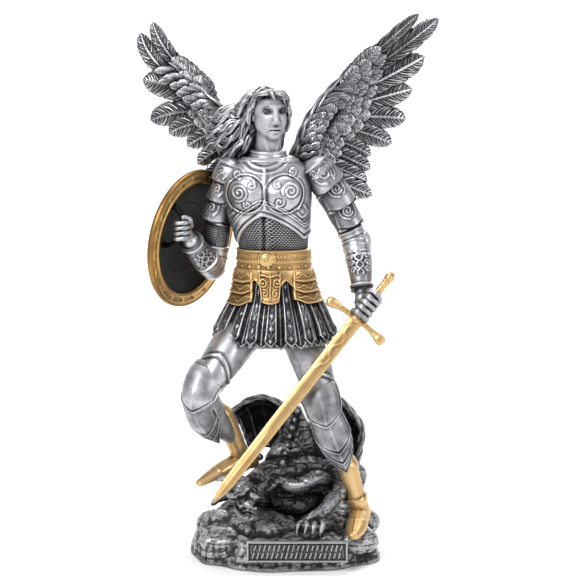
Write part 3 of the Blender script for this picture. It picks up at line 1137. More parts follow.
headValues = {
    "middle": (-8.0, -3, 286.4), "yaw": 19, "roll": -1, "pitch": -2, "voxel": 0.5,
    "bright": 1.35, "dark": -0.5, "hairShade": -0.05,
    "hollows": ((4.4, 2.6, -0.4, 1.9), (0, 2.0, -9.0, 0.8), (0, 2.6, -12.2, 0.45)), "hollowDepth": 0.95,
    "lumps": (
        ((0, 1.5, 0.8), (11.3, 14.2, 11.6)), ((0, -3.4, -4.6), (9.7, 9.9, 12.6)),
        ((0, -7.8, -14.6), (4.6, 3.9, 3.7)),
        ((0, -7.2, -2.4), (7.5, 6.3, 10.6)), ((7.2, -2.4, -6.6), (2.9, 5.6, 6.4)),
        ((10.6, 0.8, -3.0), (1.3, 2.4, 3.9)),
        ((3.8, -4.6, -11.2), (4.4, 4.7, 5.0)),
    ),
    "neck": ((-8.8, 0.6, 254, 9.0, 8.9), (-8.6, -0.6, 264, 8.2, 8.4), (-8.3, -1.4, 272, 7.8, 8.4),
             (-8.2, -1.6, 278, 8.0, 8.6)),
    "locks": (
        ((-6, -7, 296), (-15, -10, 298), (-22, -5, 288), 3.9),
        ((-8, -3, 297), (-21, -4, 296), (-30, 2, 284), 3.8),
        ((-13, 0, 294), (-28, 0, 286), (-45, 8, 281), 3.8),
        ((-17, 2, 288), (-29, 0, 273), (-47, 9, 273), 3.7),
        ((-17, 1, 283), (-26, 0, 267), (-48, 10, 264), 3.7),
        ((-17, 2, 278), (-23, 0, 260), (-41, 8, 256), 4.0),
        ((-17, 4, 274), (-19, 2, 258), (-31, 5, 248), 4.4),
        ((-15, 8, 276), (-14, 9, 260), (-22, 7, 246), 4.6),
        ((-9, 11, 282), (-7, 13, 264), (-11, 11, 248), 5.0),
        ((-3, 9, 284), (-1, 11, 268), (-3, 10, 255), 4.6),
        ((0, 4, 291), (4.2, 2, 287), (3.2, 3, 276), 3.0),
        ((-3, -9, 296), (1.8, -10.5, 296), (4.0, -5.5, 289), 2.7),
        ((-1, -1, 296), (3.8, -1, 293), (3.8, 3, 281), 3.2),
        ((-6, 5, 296), (-4, 13, 288), (-6, 13, 270), 5.2),
    ),
    "curls": (
        ((-6.4, -13.2, 297.6), (-3.4, -17.0, 299.2), (-0.9, -14.4, 295.6), 1.7),
        ((-4.4, -14.4, 298.2), (-1.2, -15.6, 299.6), (2.4, -11.2, 295.0), 1.7),
        ((-7.4, -14.4, 297.8), (-6.8, -18.0, 298.0), (-4.2, -17.2, 293.6), 1.3),
        ((-7.2, -13.2, 298.6), (-12.6, -17.2, 300.2), (-17.4, -12.2, 292.4), 1.9),
        ((-8.8, -10.2, 299.4), (-17.4, -13.0, 299.6), (-20.6, -8.6, 288.6), 2.2),
        ((-2.4, -9.6, 298.8), (3.2, -11.0, 297.4), (3.9, -7.4, 290.6), 1.9),
        ((-18.2, -7.4, 290.4), (-21.8, -8.0, 284.6), (-20.0, -6.2, 277.4), 1.9),
        ((-20.4, -4, 286), (-25.4, -5, 277), (-24.6, -2, 268), 2.3),
        ((-20, -2, 279), (-26.4, -3.6, 270), (-28, 0, 259), 2.3),
        ((3.4, -5.6, 290.6), (5.2, -6.2, 284.8), (3.6, -4.6, 279.4), 1.5),
        ((3.8, -4.2, 282.6), (5.4, -4.8, 278.0), (2.8, -4.2, 274.4), 1.5),
        ((3.2, -1, 289), (5.6, -1, 283), (3.6, 1, 275), 2.0),
        ((-28, 1, 288), (-37, 1, 287), (-43, 5, 280), 2.1),
        ((-30, 3, 280), (-38, 3, 274), (-49, 9, 274), 2.0),
        ((-28, 3, 271), (-36, 4, 266), (-47, 9, 266), 2.0),
        ((-12, -5, 297.6), (-21, -5, 296.6), (-29, 1, 289), 2.3),
        ((-6, -2, 297.6), (-13, 0, 298.6), (-22, 4, 294), 2.5),
        ((-24, -3, 268), (-30, -4, 261), (-37, 2, 252), 2.1),
        ((-20, -3, 270), (-23.4, -4.8, 262), (-28, -1, 253), 2.2),
    ),
}


def headFrame():
    v = headValues
    turn = Matrix.Rotation(math.radians(v["yaw"]), 4, "Z") @ Matrix.Rotation(math.radians(v["roll"]), 4, "Y")
    return Matrix.Translation(v["middle"]) @ turn @ Matrix.Rotation(math.radians(v["pitch"]), 4, "X")


# The face in its own millimetres, looking along -Y: each row is x, z, width, height and how far it stands out
faceForms = (
    (0, -2.6, 1.7, 4.4, 1.6), (0, -6.7, 1.9, 1.9, 2.0), (0, 1.8, 2.6, 2.2, 0.4), (0, 7.5, 7.0, 4.6, 0.3),
    (-4.5, -0.4, 2.7, 2.1, -1.9), (-4.7, 2.9, 3.4, 1.0, 0.8), (-2.1, -7.6, 0.9, 0.95, 0.8),
    (-6.5, -5.4, 2.8, 2.6, 0.45), (0, -11.3, 2.5, 0.8, 0.8), (-1.3, -11.0, 0.9, 0.6, 0.3),
    (0, -13.1, 2.1, 0.9, 0.75), (0, -12.15, 2.6, 0.4, -0.75), (-2.9, -12.1, 0.8, 0.8, -0.3),
    (0, -9.6, 0.6, 0.7, -0.35), (0, -14.8, 2.3, 0.9, -0.4), (0, -16.8, 2.6, 1.8, 0.45),
    (-8.6, 4.2, 2.4, 3.4, -0.4), (-3.9, -9.4, 0.9, 1.9, -0.25),
)


# A form off the middle stands on both sides of it
def bothSides(x):
    return (x, -x) if x else (x,)


def makeHead():
    v = headValues
    place = headFrame()
    bm = newMesh()
    for (x, y, z), radii in v["lumps"]:
        for across in bothSides(x):
            ball(bm, (across, y, z), radii, 4)
    inverse = place.inverted()
    tube(bm, [(*(inverse @ Vector(row[:3])), row[3], row[4]) for row in v["neck"]], sides=32)

    def sculpt(points, normals):
        front = step(-points[:, 1], 4.0, 8.0)
        out = np.zeros(len(points))
        for x, z, wide, tall, high in faceForms:
            for across in bothSides(x):
                far = (points[:, 0] - across) / wide
                out += high * np.exp(-(far**2) - ((points[:, 2] - z) / tall) ** 2)
        points[:, 1] -= out * front
        cord = ridge(np.abs(points[:, 0]) - 4.4 - 0.3 * (points[:, 2] + 20), 1.2)
        cord = cord * step(-points[:, 2], 14, 20)
        return points + normals * (0.35 * cord * step(-points[:, 1], -2, 2))[:, None]

    bm = melt(bm, v["voxel"], 40, sculpt)
    shades = bm.verts.layers.float["wear"]
    for vert in bm.verts:
        x, y, z = vert.co
        hollow = max(math.exp(-(((abs(x) - a) / b) ** 2) - ((z - c) / d) ** 2) for a, b, c, d in v["hollows"])
        vert[shades] += v["bright"] - v["hollowDepth"] * hollow * (y < -5)
    skinVerts = len(bm.verts)
    for side in (-1, 1):
        x = 4.5 * side
        ball(bm, (x, -8.7, -0.5), (2.2, 2.3, 1.9), 4)
        lids = (((-2.4, -0.2), (-1.4, 0.85), (0.2, 1.1), (1.6, 0.6), (2.5, -0.4), 0.36),
                ((-2.1, -0.6), (-1.0, -1.2), (0.5, -1.35), (1.8, -0.95), (2.4, -0.5), 0.2))
        for *points, thick in lids:
            rows = [(x + a * side, -10.95 + 0.1 * a * a, -0.5 + c, thick, thick * 1.1) for a, c in points]
            tube(bm, rows, sides=10, front=(0, 0, 1), spacing=0.4)
        ball(bm, (x - 0.1 * side, -10.82, -0.4), (0.66, 0.34, 0.7), 3)
        rows = [(x + a * side, -12.0 + 0.12 * abs(a) ** 1.6, c, 0.28 + 0.12 * (a < 1), 0.45)
                for a, c in ((-2.8, 1.9), (-1.3, 2.6), (0.8, 3.0), (2.6, 2.5), (3.8, 1.5))]
        tube(bm, rows, sides=10, front=(0, 0, 1), spacing=0.4)
    shade(bm, v["dark"], skinVerts)
    bmesh.ops.transform(bm, matrix=place, verts=bm.verts)
    finishPiece("figure_head", bm, "archangel_figure", skinMetal)


def lock(bm, start, bend, end, radius, seed, sides=24, strands=4, wave=1.0):
    rows = []
    reach = (Vector(end) - Vector(start)).length
    for k in range(13):
        share = k / 12
        sway = wave * 2.3 * math.sin(share * reach * 0.42 + seed * 1.7) * (radius / 4) * (0.35 + share)
        side = wave * 1.7 * math.cos(share * reach * 0.42 + seed * 1.7) * (radius / 4) * share
        x, y, z = bezier(start, bend, end, share)
        width = radius * (1 - 0.72 * share**2) * (0.86 if k == 0 else 1)
        rows.append((x + side * 0.4, y + side * 0.7, z + sway, width, width * 0.8))

    def twisted(share, turn):
        groove = np.abs(np.sin(np.radians(turn) * strands * 0.5 + share * reach * 0.13 + seed))
        fine = np.sin(np.radians(turn) * strands * 2 + share * 9 + seed * 3)
        return radius * (0.16 - 0.42 * (1 - groove) ** 1.4) * (1 - 0.35 * share) + radius * 0.07 * fine

    tube(bm, rows, sides=sides, spacing=1.0, out=twisted)


def makeHair():
    v = headValues
    place = headFrame()
    bm = newMesh()
    turn = np.arange(120)[None] * 3.0
    polar = np.linspace(4, 128, 60)[:, None]
    a, b = np.radians(turn), np.radians(polar)
    parting = np.abs(np.sin(a * 9 + 0.9 * np.sin(polar * 0.11) + 0.5 * np.sin(a * 5)))
    swell = 1 + 0.07 * parting**0.7 + 0.03 * np.sin(a * 4 + b * 3)
    front = step(-np.cos(a), 0.2, 0.75)
    reach = np.minimum(b, np.radians(128 - 68 * front))
    cap = np.stack((12.3 * swell * np.sin(reach) * np.sin(a), 3.0 + 14.0 * swell * np.sin(reach) * np.cos(a),
                    2.0 + 11.2 * swell * np.cos(reach)), axis=-1)
    skin(bm, cap)
    bmesh.ops.transform(bm, matrix=place, verts=bm.verts)
    for k, (start, bend, end, radius) in enumerate(v["locks"]):
        lock(bm, start, bend, end, radius * 0.94, k * 1.3, sides=30, strands=7)
        for side in (-1, 1):
            shift = np.array((0.35 * side, -0.55, 0.75 * side)) * radius
            ends = [np.array(p, float) + shift * f for p, f in ((start, 0.4), (bend, 0.8), (end, 0.75))]
            lock(bm, *ends, radius * 0.5, k * 2.1 + side, sides=12, strands=3, wave=2.0)
    for k, (start, bend, end, radius) in enumerate(v["curls"]):
        lock(bm, start, bend, end, radius, k * 1.9, sides=18, strands=4, wave=1.2)
    shades = bm.verts.layers.float["wear"]
    for vert in bm.verts:
        vert[shades] = v["hairShade"] - 0.03 * max(0, 282 - vert.co.z) * (vert.co.x > -30)
    finishPiece("figure_hair", bm, "archangel_figure", silver)


demonValues = {"voxel": 1.0, "shade": -0.25, "spines": 7}


def leafSheet(bm, net, thick, columns=40, rows=34, ribs=4):
    lines = [catmull(line, columns + 1) for line in net]
    down = [catmull([line[c] for line in lines], rows + 1) for c in range(columns + 1)]
    points = np.transpose(np.array(down), (1, 0, 2))
    across = unit(np.gradient(points, axis=1))
    along = unit(np.gradient(points, axis=0))
    normal = unit(np.cross(across, along))
    u = np.linspace(0, 1, columns + 1)[None]
    s = np.linspace(0, 1, rows + 1)[:, None]
    rib = 1.1 * ridge((np.abs((u * ribs + 0.5) % 1 - 0.5)) * 9, 0.8) * (0.4 + 0.6 * s)
    fold = 0.5 * np.sin(s * 24 + u * 7) * 0.4
    half = (thick / 2 + rib + fold)[..., None]
    net2 = np.concatenate((points + normal * half, (points - normal * half)[:, ::-1]), axis=1)
    skin(bm, net2)


def makeDemon():
    v = demonValues
    bm = newMesh()

    def limbOf(*rows, sides=20, front=(0, -1, 0)):
        tube(bm, rows, sides=sides, front=front, spacing=1.5)

    limbOf((-22, -26, 47, 8, 8), (-12, -11, 51, 9.5, 9), (2, -2, 52, 15, 12), (17, 3, 51, 16, 13),
           (31, 8, 46, 12, 11),
           front=(0, 0, 1))
    limbOf((7, 4, 46, 21, 13), (7, 6, 59, 18, 11), (9, 9, 71, 12.5, 8.4), (9.6, 12, 83, 7.4, 6),
           (10, 14, 91, 3.4, 3.4))
    limbOf((21, 12, 48, 15, 8), (19, 12, 64, 11, 6.4), (14, 13, 80, 5.4, 4.6))
    for x, y, z in ((-7, 21, 38), (24, 19, 38), (8, 8, 36)):
        ball(bm, (x, y, z), (15.6, 12.6, 17.6))
    for k in range(v["spines"]):
        share = k / (v["spines"] - 1)
        point = (9.6 - 9.1 * share, 8.2 - 18 * share, 91 - 29 * share)
        ball(bm, point, (1.7, 2.4, 1.9), 3)
    ball(bm, (-25.4, -28.6, 48), (10.0, 10.4, 9.4), 4)
    ball(bm, (-23, -36.6, 42.6), (6.0, 6.2, 3.6), 4)
    ball(bm, (-21.4, -36.4, 34), (4.6, 5.2, 2.2), 4)
    limbOf((-28, -31, 37, 2.8, 2.8), (-24, -37, 33.6, 2.2, 2.2), (-19, -40, 33.4, 1.8, 1.8), sides=12)
    for x, z in ((-30.2, 46.0), (-18.4, 46.4)):
        limbOf((x - 3, -35, z + 1, 1.6, 1.6), (x, -38.2, z + 1.6, 2.0, 1.8), (x + 3, -37, z - 0.2, 1.6, 1.6),
               sides=12)
    for x in (-26, -20.6):
        ball(bm, (x, -42.4, 42.2), (1.5, 1.4, 1.5), 3)
    for k in range(5):
        limbOf((-26.6 + 2.6 * k, -41.6 + 0.3 * abs(k - 2), 40.6, 0.9, 0.9),
               (-26.6 + 2.6 * k, -42 + 0.3 * abs(k - 2), 37.8, 0.45, 0.45),
               sides=8)
        limbOf((-25 + 2.2 * k, -40.4, 35.4, 0.8, 0.8), (-25 + 2.2 * k, -40.8, 37.4, 0.4, 0.4), sides=8)
    limbOf((-31, -26, 53, 3.4, 3.4), (-37, -28, 56, 2.5, 2.5), (-41, -26, 54, 1.2, 1.2), sides=14)
    limbOf((-18, -24, 54, 3.2, 3.2), (-16, -28, 60, 2.3, 2.3), (-18, -33, 62, 1.1, 1.1), sides=14)
    limbOf((28, -9, 51, 5.0, 4.0), (20, -14.6, 53, 6.2, 4.2), (10, -15.6, 48.6, 7.4, 5.2),
           (-2, -13, 51, 5.0, 4.0),
           (-12, -17, 46.6, 4.2, 3.6), front=(0, 0, 1))
    limbOf((37, -4, 50, 7.2, 7.2), (38, -14, 46, 5.6, 5.6), (28, -27, 37, 4.4, 4.4),
           (18.5, -34.5, 30.5, 4.4, 3.4))
    ball(bm, (31, -23.6, 40), (4.8, 4.6, 4.4), 3)
    for k in range(4):
        x = 9 + 5 * k
        limbOf((17 + 1.4 * k, -33.5, 30, 2.1, 2.1), (x + 1.6, -38.4, 29.6, 1.9, 1.9),
               (x + 0.6, -41, 26.4, 1.5, 1.5), sides=12)
        limbOf((x + 0.6, -41, 26.4, 1.3, 1.3), (x - 0.2, -43.4, 24, 0.9, 0.9),
               (x - 0.6, -43.4, 20.8, 0.4, 0.4), sides=10)
    limbOf((31, 10, 45, 9, 9), (42, 17, 48, 6.3, 6.8), (51, 20, 47, 4.8, 4.8), (50, 24, 36, 4.2, 4.2),
           (44, 30, 26, 4.4, 3.9))
    limbOf((24, 18, 46, 7, 6), (6, 32, 38, 5, 5), (-20, 33, 32, 3.9, 3.9), (-40, 22, 29, 2.9, 2.9),
           (-46, 10, 28, 1.5, 1.5))

    def hide(points, normals):
        folds = noiseAt(points, 0.11, 3.0)
        warped = points + 3.0 * np.stack((folds, -folds, folds), axis=1)
        wrinkle = np.abs(noiseAt(warped * np.array((0.45, 0.45, 1.1)), 0.3, 9.0))
        fur = noiseAt(points * np.array((1.0, 1.0, 0.3)), 0.9, 5.0)
        pull = 0.7 * folds + 1.1 * np.minimum(wrinkle, 0.35) - 0.3 + 0.2 * fur
        return points + normals * pull[:, None]

    bm = melt(bm, v["voxel"], 2, hide)
    leafSheet(bm, (((-33, 17, 90), (-14, 22, 97), (6, 17, 88)), ((-28, 24, 80), (-12, 31, 84), (6, 26, 76)),
                   ((-22, 12, 68), (-9, 17, 66), (6, 14, 60))), 1.8)
    leafSheet(bm, (((35, 17, 97), (45, 19, 89), (52.5, 19, 76)), ((35, 23, 80), (44, 28, 76), (50, 25, 67)),
                   ((33, 14, 60), (42, 16, 57), (48.5, 12, 54))), 1.8)

    def knots(share, turn):
        return 0.3 * np.sin(share * 40 + turn * 0.06) + 0.2 * np.sin(share * 19 + turn * 0.03)

    rims = (
        ((-33, 16.5, 89, 1.6, 1.6), (-24, 19, 95, 1.9, 1.9), (-13, 21.5, 97.6, 2.1, 2.1),
         (-2, 20, 94, 2.1, 2.1),
         (6, 16.5, 87.5, 2.5, 2.5), (9, 10, 72, 3.8, 3.8)),
        ((30, 12, 92, 1.9, 1.9), (36, 16.5, 97.5, 1.9, 1.9), (46, 18.5, 88, 2.1, 2.1),
         (52.6, 18.5, 75, 2.1, 2.1),
         (48.6, 12, 53, 1.9, 1.9)),
        ((-33, 16.5, 89, 1.2, 1.2), (-27, 22, 79, 1.2, 1.2), (-21, 12, 67, 1.4, 1.4), (-14, 8, 60, 2, 2)),
    )
    for rows in rims:
        tube(bm, rows, sides=18, spacing=0.8, out=knots)
    shade(bm, v["shade"])
    finishPiece("demon", bm, "rock_base_with_demon", darkCast)


rockValues = {
    "width": 127, "front": 47, "back": 46, "height": 20, "voxel": 1.2,
    "plate": (63, 13, 5), "plateShift": 6.5, "plateRise": 7.5, "strokes": 19,
}


def makeRock():
    v = rockValues
    baseHeight = ground / mm
    bm = newMesh()
    ledges = ((-0.2, 0.97), (0.12, 1.0), (0.4, 0.985), (0.68, 0.95), (0.94, 0.92), (1.04, 0.8))
    rings = []
    turn = 2 * np.pi * np.arange(120) / 120
    c, s = np.cos(turn), np.sin(turn)
    for share, swell in ledges:
        depth = np.where(s > 0, v["back"], v["front"])
        lump = 1 - 0.03 * (1 + np.sin(5 * turn + 0.6)) - 0.02 * (1 + np.sin(9 * turn + 2.2))
        x = np.copysign(np.abs(c) ** 0.8, c) * v["width"] / 2 * swell * lump
        y = np.copysign(np.abs(s) ** 0.72, s) * depth * swell * lump
        crag = noiseAt(np.stack((x, y, share * v["height"] + 0 * x), axis=1), 0.06)
        push = 1 + 0.055 * crag
        z = share * v["height"] + max(share, 0) * (0.1 * y + 1.5 + crag * 2.5)
        rings.append(np.stack((x * push + 3, y * push, z), axis=1))
    skin(bm, np.array(rings))
    boulders = ((-0.37, 0.05, 0.1, 0.85), (0.38, -0.04, 0.1, 1.0), (0.36, -0.27, 0.11, 0.72),
                (-0.3, -0.2, 0.15, 0.62),
                (0.05, 0.15, 0.3, 0.6), (-0.24, 0.22, 0.18, 0.75), (0.28, 0.24, 0.18, 0.8),
                (0.0, -0.05, 0.3, 0.55),
                (-0.12, -0.1, 0.2, 0.9), (0.22, -0.04, 0.2, 0.85))
    for x, y, radius, rise in boulders:
        middle = (x * v["width"] + 3, y * (v["front"] + v["back"]), v["height"] * rise)
        ball(bm, middle, (radius * v["width"], radius * v["width"] * 0.8, v["height"] * 0.5), 4)

    def strata(points, normals):
        folds = crags(points * np.array((1.0, 1.0, 0.55)), 0.085, 5.0, 4)
        fine = noiseAt(points * np.array((1, 1, 1.8)), 0.5, 2.0)
        layer = np.abs(((points[:, 2] + 1.5 * noiseAt(points, 0.05, 8.0)) / 4.6) % 1 - 0.5) * 2
        steep = 1 - np.abs(normals[:, 2])
        pull = 2.1 * (folds - 0.8) + 0.3 * fine - 0.5 * step(layer, 0.75, 1.0) * steep
        pull *= step(points[:, 2], 0.5, 3.0)
        return points + normals * pull[:, None]

    bm = melt(bm, v["voxel"], 1, strata)
    every = bm.verts[:] + bm.edges[:] + bm.faces[:]
    cut = bmesh.ops.bisect_plane(bm, geom=every, plane_co=(0, 0, 0), plane_no=(0, 0, -1), clear_outer=True)
    edges = [item for item in cut["geom_cut"] if isinstance(item, bmesh.types.BMEdge)]
    bmesh.ops.holes_fill(bm, edges=edges)
    wide, tall, thick = v["plate"]
    middle = Vector((v["plateShift"] + 3, -v["front"], v["plateRise"] + tall / 2))
    lean = Matrix.Translation(middle) @ Matrix.Rotation(math.radians(-6), 4, "X")
    strokes = strokesOf(wide - 6, tall - 4.2, v["strokes"])

    def face(u, w, o):
        x, z = (u - 0.5) * wide, (0.5 - w) * tall
        points = np.stack((x, -thick / 2 - o, z), axis=-1)
        turned = np.array(lean.to_3x3())
        return points @ turned.T + np.array(lean.translation)

    def carved(u, w):
        x, z = (u - 0.5) * wide, (0.5 - w) * tall
        edge = np.minimum(wide / 2 - np.abs(x), tall / 2 - np.abs(z))
        out = 0.1 - 0.9 * step(edge, 1.1, 1.5) + 0.3 * ridge(edge - 0.7, 0.4)
        stroke = nearest(x, z, strokes)
        pits = 0.12 * np.sin(x * 2.1 + z * 3.3) * np.sin(x * 1.3 - z * 2.7)
        return out + 0.75 * (1 - step(stroke, 0.42, 0.72)) + pits * step(edge, 1.5, 2)

    patch(bm, face, carved, 220, 48, floor=-thick, backing=6)
    bmesh.ops.translate(bm, verts=bm.verts, vec=(0, 0, baseHeight - v["height"]))
    finishPiece("rock", bm, "rock_base_with_demon", greyCast)


# Two rows of short parallel strokes that stand for an inscription and spell nothing
def strokesOf(wide, tall, count):
    lines = []
    for row in (-1, 1):
        for k in range(count):
            x = (k + 0.5 + 0.2 * row) * wide / count - wide / 2
            rise = tall * (0.2, 0.15, 0.18)[(k + row) % 3]
            lines.append([(x - 0.45, row * tall * 0.27 - rise), (x + 0.45, row * tall * 0.27 + rise)])
    return lines


swordValues = {
    "guard": (47, -22, 157.3), "run": (-0.617, -0.21, -0.758), "length": 145, "wide": 9.4, "thick": 3.0,
    "span": 40,
    "depth": 4.4, "grip": 33, "pommel": 3.3,
}


def makeSword():
    v = swordValues
    run = Vector(v["run"]).normalized()
    across = run.cross(Vector((0, -1, 0.15))).normalized()
    place = Matrix.Translation(v["guard"]) @ Matrix((across, run.cross(across), run)).transposed().to_4x4()
    bm = newMesh()
    share = np.linspace(0, 1, 110)[:, None]
    wide = v["wide"] / 2 * np.interp(share, (0, 0.08, 0.5, 0.9, 0.96, 1), (1, 1, 0.92, 0.8, 0.5, 0.05))
    s = np.concatenate((np.linspace(-1, 1, 17), np.linspace(1, -1, 17)[1:-1]))[None]
    side = np.concatenate((np.ones(17), -np.ones(15)))[None]
    fuller = -0.45 * ridge(s * 4.2, 1.0) * (1 - step(share, 0.55, 0.68)) + 0.25 * ridge(s * 4.2,
                                                                                        0.3) * step(share,
                                                                                                    0.6, 0.7)
    lines = nearest(s * 4.2 + 0 * share, share * v["length"] + 0 * s,
                    [curve(*((1.5 * math.sin(k * 1.3), 5 + 3.2 * k) for k in range(12)))])
    etched = 0.5 * ridge(lines, 0.45) * (1 - step(share, 0.24, 0.3))
    thick = v["thick"] / 2 * (0.16 + 0.84 * (1 - np.abs(s))) * np.interp(share, (0, 0.9, 1),
                                                                         (1, 0.8, 0.3)) * (np.abs(s) < 0.999)
    blade = np.stack((wide * s, side * (thick + fuller * 0.7 + etched) * (np.abs(s) < 0.999) + 0 * share,
                      share * v["length"] + 0 * s), axis=-1)
    skin(bm, blade)

    def wrap(share, turn):
        return 0.35 * np.abs(np.sin(share * v["grip"] * 1.15 + np.radians(turn))) - 0.1

    rows = ((0, 0, 0, 2.3, 2.1), (0, 0, -v["grip"] * 0.5, 2.5, 2.3), (0, 0, -v["grip"], 2.1, 2.0))
    tube(bm, rows, sides=20, spacing=0.5, out=wrap)
    for z, r in ((-v["grip"], v["pommel"]), (-v["grip"] - v["pommel"], v["pommel"] * 0.66),
                 (-v["grip"] + 3.2, 2.9), (-3.4, 3.0)):
        ball(bm, (0, 0, z), (r, r, r if r > 3.1 else r * 0.5), 3)
    rows = []
    for k in range(-6, 7):
        share = k / 6
        flare = 0.55 + 0.72 * share**2 + 0.5 * max(0, 1 - abs(share) * 4)
        rows.append((share * v["span"] / 2, 0, v["depth"] * 0.35 * share**2, v["depth"] / 2 * flare,
                     v["depth"] * 0.62 * flare))

    def bars(share, turn):
        far = np.abs(share - 0.5) * 2
        return 0.35 * ridge((far - 0.88) * 20, 0.8) + 0.3 * ridge((far - 0.3) * 20,
                                                                  0.8) - 0.25 * ridge((far - 0.6) * 20, 2.2)

    tube(bm, rows, sides=28, front=(0, 0, 1), spacing=0.6, power=3.2, out=bars)
    bmesh.ops.transform(bm, matrix=place, verts=bm.verts)
    finishPiece("gold_sword", bm, "sword", gold)


shieldValues = {
    "middle": (-57, 2, 205), "inside": (0.835, -0.53, -0.143), "radius": 44.5, "rim": 8.5, "dome": 9,
    "wall": 2.6,
    "handle": 1.8, "reach": 13, "studs": 20, "grip": (-61, -23, 214),
    "rimInner": ((-2.5, -3.4), (-0.6, -1.2), (0, 0.8), (0.5, 1.35), (1.1, 1.5), (1.6, 1.0), (2.4, 0.9),
                 (4.4, 1.05), (6.2, 0.8), (6.7, 1.2), (7.3, 1.35), (8.0, 1.0)),
    "rimOuter": ((0, -0.2), (0, -1.3), (0.8, -2.6), (2, -2.9)),
    "rimBack": ((2, -3.0), (0, -3.6), (-2.5, -4.2)),
}


def makeShield():
    v = shieldValues
    inside = Vector(v["inside"]).normalized()
    across = inside.cross(Vector((0, 0, 1))).normalized()
    upward = across.cross(inside)
    place = Matrix.Translation(v["middle"]) @ Matrix((across, upward, inside)).transposed().to_4x4()
    field = v["radius"] - v["rim"]
    turn = np.arange(180)[None] * math.pi / 90

    rimProfile = [(field + out, high) for out, high in v["rimInner"]]
    rimProfile += [(v["radius"] - back, high) for back, high in v["rimOuter"]]
    rimProfile += [(field + out, high) for out, high in v["rimBack"]]
    dense = catmull(rimProfile, 44)
    r, z = dense[:, :1], dense[:, 1:] + 0 * turn
    stud = np.hypot(np.abs((turn * v["studs"] / 6.2832) % 1 - 0.5) * 6.2832 / v["studs"] * 40,
                    r - field - 4.2)
    front = step(z, 0.3, 0.6)
    rim = np.stack((r * np.cos(turn), r * np.sin(turn),
                    z + 0.9 * np.sqrt(np.clip(1 - (stud / 1.3) ** 2, 0, 1)) * front), axis=-1)
    bm = newMesh()
    skin(bm, rim, looped=True)
    bmesh.ops.transform(bm, matrix=place, verts=bm.verts)
    finishPiece("shield_rim", bm, "round_shield", oldGold)
    share = np.linspace(0.02, 1, 34)[:, None]
    turn = np.arange(120)[None] * math.pi / 60
    r = field * share
    front = -v["dome"] * (1 - share**2) + 0.3 * ridge((share - 0.62) * field, 0.8) + 0 * turn
    back = -v["wall"] - v["dome"] * (1 - share**2) - 0.9 * ridge((share - 0.2) * field, 2.2) + 0 * turn
    faceRings = np.stack((r * np.cos(turn), r * np.sin(turn), front), axis=-1)
    backRings = np.stack((r * np.cos(turn), r * np.sin(turn), back), axis=-1)[::-1]
    bm = newMesh()
    skin(bm, np.concatenate((faceRings, backRings), axis=0))
    grip = place.inverted() @ Vector(v["grip"])
    rows = []
    for k in range(9):
        swing = math.pi * k / 8
        y = grip.y - v["reach"] * math.cos(swing)
        floor = -v["dome"] * (1 - (grip.x**2 + y**2) / field**2) - v["wall"] / 2
        rows.append((grip.x, y, floor + (grip.z - floor) * math.sin(swing), v["handle"], v["handle"]))
    tube(bm, rows, sides=20, front=(1, 0, 0), spacing=0.8, out=lambda s,
         t: 0.2 * np.sin(s * 90 + np.radians(t)))
    bmesh.ops.transform(bm, matrix=place, verts=bm.verts)
    finishPiece("shield_field", bm, "round_shield", blackened)


makeHead()
makeHair()
makeDemon()
makeRock()
makeSword()
makeShield()


sceneValues = {
    "distance": 1.10, "rise": 9.0, "target": (0.0008, 0.0, 0.1735), "lens": 107.84, "floor": 0.85,
    "glow": 0.16, "wallGlow": 0.5,
}


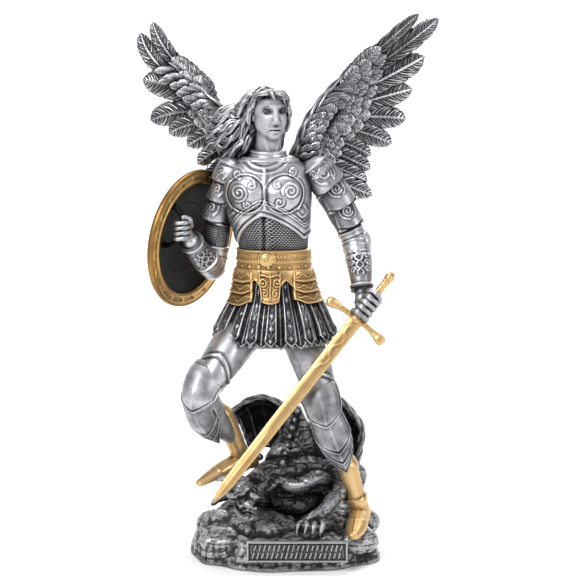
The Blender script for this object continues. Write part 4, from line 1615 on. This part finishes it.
def makeStage():
    v = sceneValues
    scene = bpy.context.scene
    bm = bmesh.new()
    bmesh.ops.create_grid(bm, x_segments=1, y_segments=24, size=1)
    for vert in bm.verts:
        run = (vert.co.y + 1) / 2
        y = -2.2 + 4.4 * run
        lift = 0.0
        if run > 0.72:
            angle = (run - 0.72) / 0.28 * math.pi / 2
            y, lift = 0.97 + 1.5 * math.sin(angle), 1.5 * (1 - math.cos(angle)) * 2.2
        vert.co = (vert.co.x * 4, y, lift)
    mesh = bpy.data.meshes.new("floor_sweep")
    bm.to_mesh(mesh)
    bm.free()
    mesh.polygons.foreach_set("use_smooth", [True] * len(mesh.polygons))
    floor = bpy.data.objects.new("floor_sweep", mesh)
    scene.collection.objects.link(floor)
    paper = bpy.data.materials.new("paper")
    paper.use_nodes = True
    shader = paper.node_tree.nodes["Principled BSDF"]
    shader.inputs["Base Color"].default_value = (v["floor"], v["floor"], v["floor"], 1)
    shader.inputs["Roughness"].default_value = 0.9
    shader.inputs["Emission Color"].default_value = (1, 1, 1, 1)
    links = paper.node_tree.links
    where = paper.node_tree.nodes.new("ShaderNodeTexCoord")
    split = paper.node_tree.nodes.new("ShaderNodeSeparateXYZ")
    rising = paper.node_tree.nodes.new("ShaderNodeMapRange")
    rising.inputs["From Min"].default_value = 0.0
    rising.inputs["From Max"].default_value = 1.2
    rising.inputs["To Min"].default_value = v["glow"]
    rising.inputs["To Max"].default_value = v["wallGlow"]
    links.new(where.outputs["Object"], split.inputs["Vector"])
    links.new(split.outputs["Y"], rising.inputs["Value"])
    links.new(rising.outputs["Result"], shader.inputs["Emission Strength"])
    mesh.materials.append(paper)
    world = bpy.data.worlds.new("studio")
    world.use_nodes = True
    world.node_tree.nodes["Background"].inputs["Color"].default_value = (0.95, 0.97, 1.0, 1)
    world.node_tree.nodes["Background"].inputs["Strength"].default_value = 0.4
    scene.world = world
    lamps = (
        ("key_soft", (-0.55, -0.9, 0.95), 0.5, 12.0), ("fill_soft", (0.95, -0.75, 0.55), 0.5, 4.0),
        ("top_soft", (0.1, 0.15, 1.25), 0.7, 6.0), ("back_soft", (0.3, 1.1, 0.7), 0.8, 6.0),
    )
    for name, spot, size, power in lamps:
        lamp = bpy.data.lights.new(name, "AREA")
        lamp.shape = "DISK"
        lamp.size = size
        lamp.energy = power
        obj = bpy.data.objects.new(name, lamp)
        obj.location = spot
        obj.rotation_euler = (Vector((0, 0, 0.17)) - Vector(spot)).to_track_quat("-Z", "Y").to_euler()
        scene.collection.objects.link(obj)
    camera = bpy.data.cameras.new("camera")
    camera.lens = v["lens"]
    camera.clip_start = 0.05
    eye = bpy.data.objects.new("camera", camera)
    rise = math.radians(v["rise"])
    target = Vector(v["target"])
    eye.location = target + Vector((0, -math.cos(rise), math.sin(rise))) * v["distance"]
    eye.rotation_euler = (target - eye.location).to_track_quat("-Z", "Y").to_euler()
    scene.collection.objects.link(eye)
    scene.camera = eye
    scene.view_settings.view_transform = "Standard"


makeStage()
print("stage set")
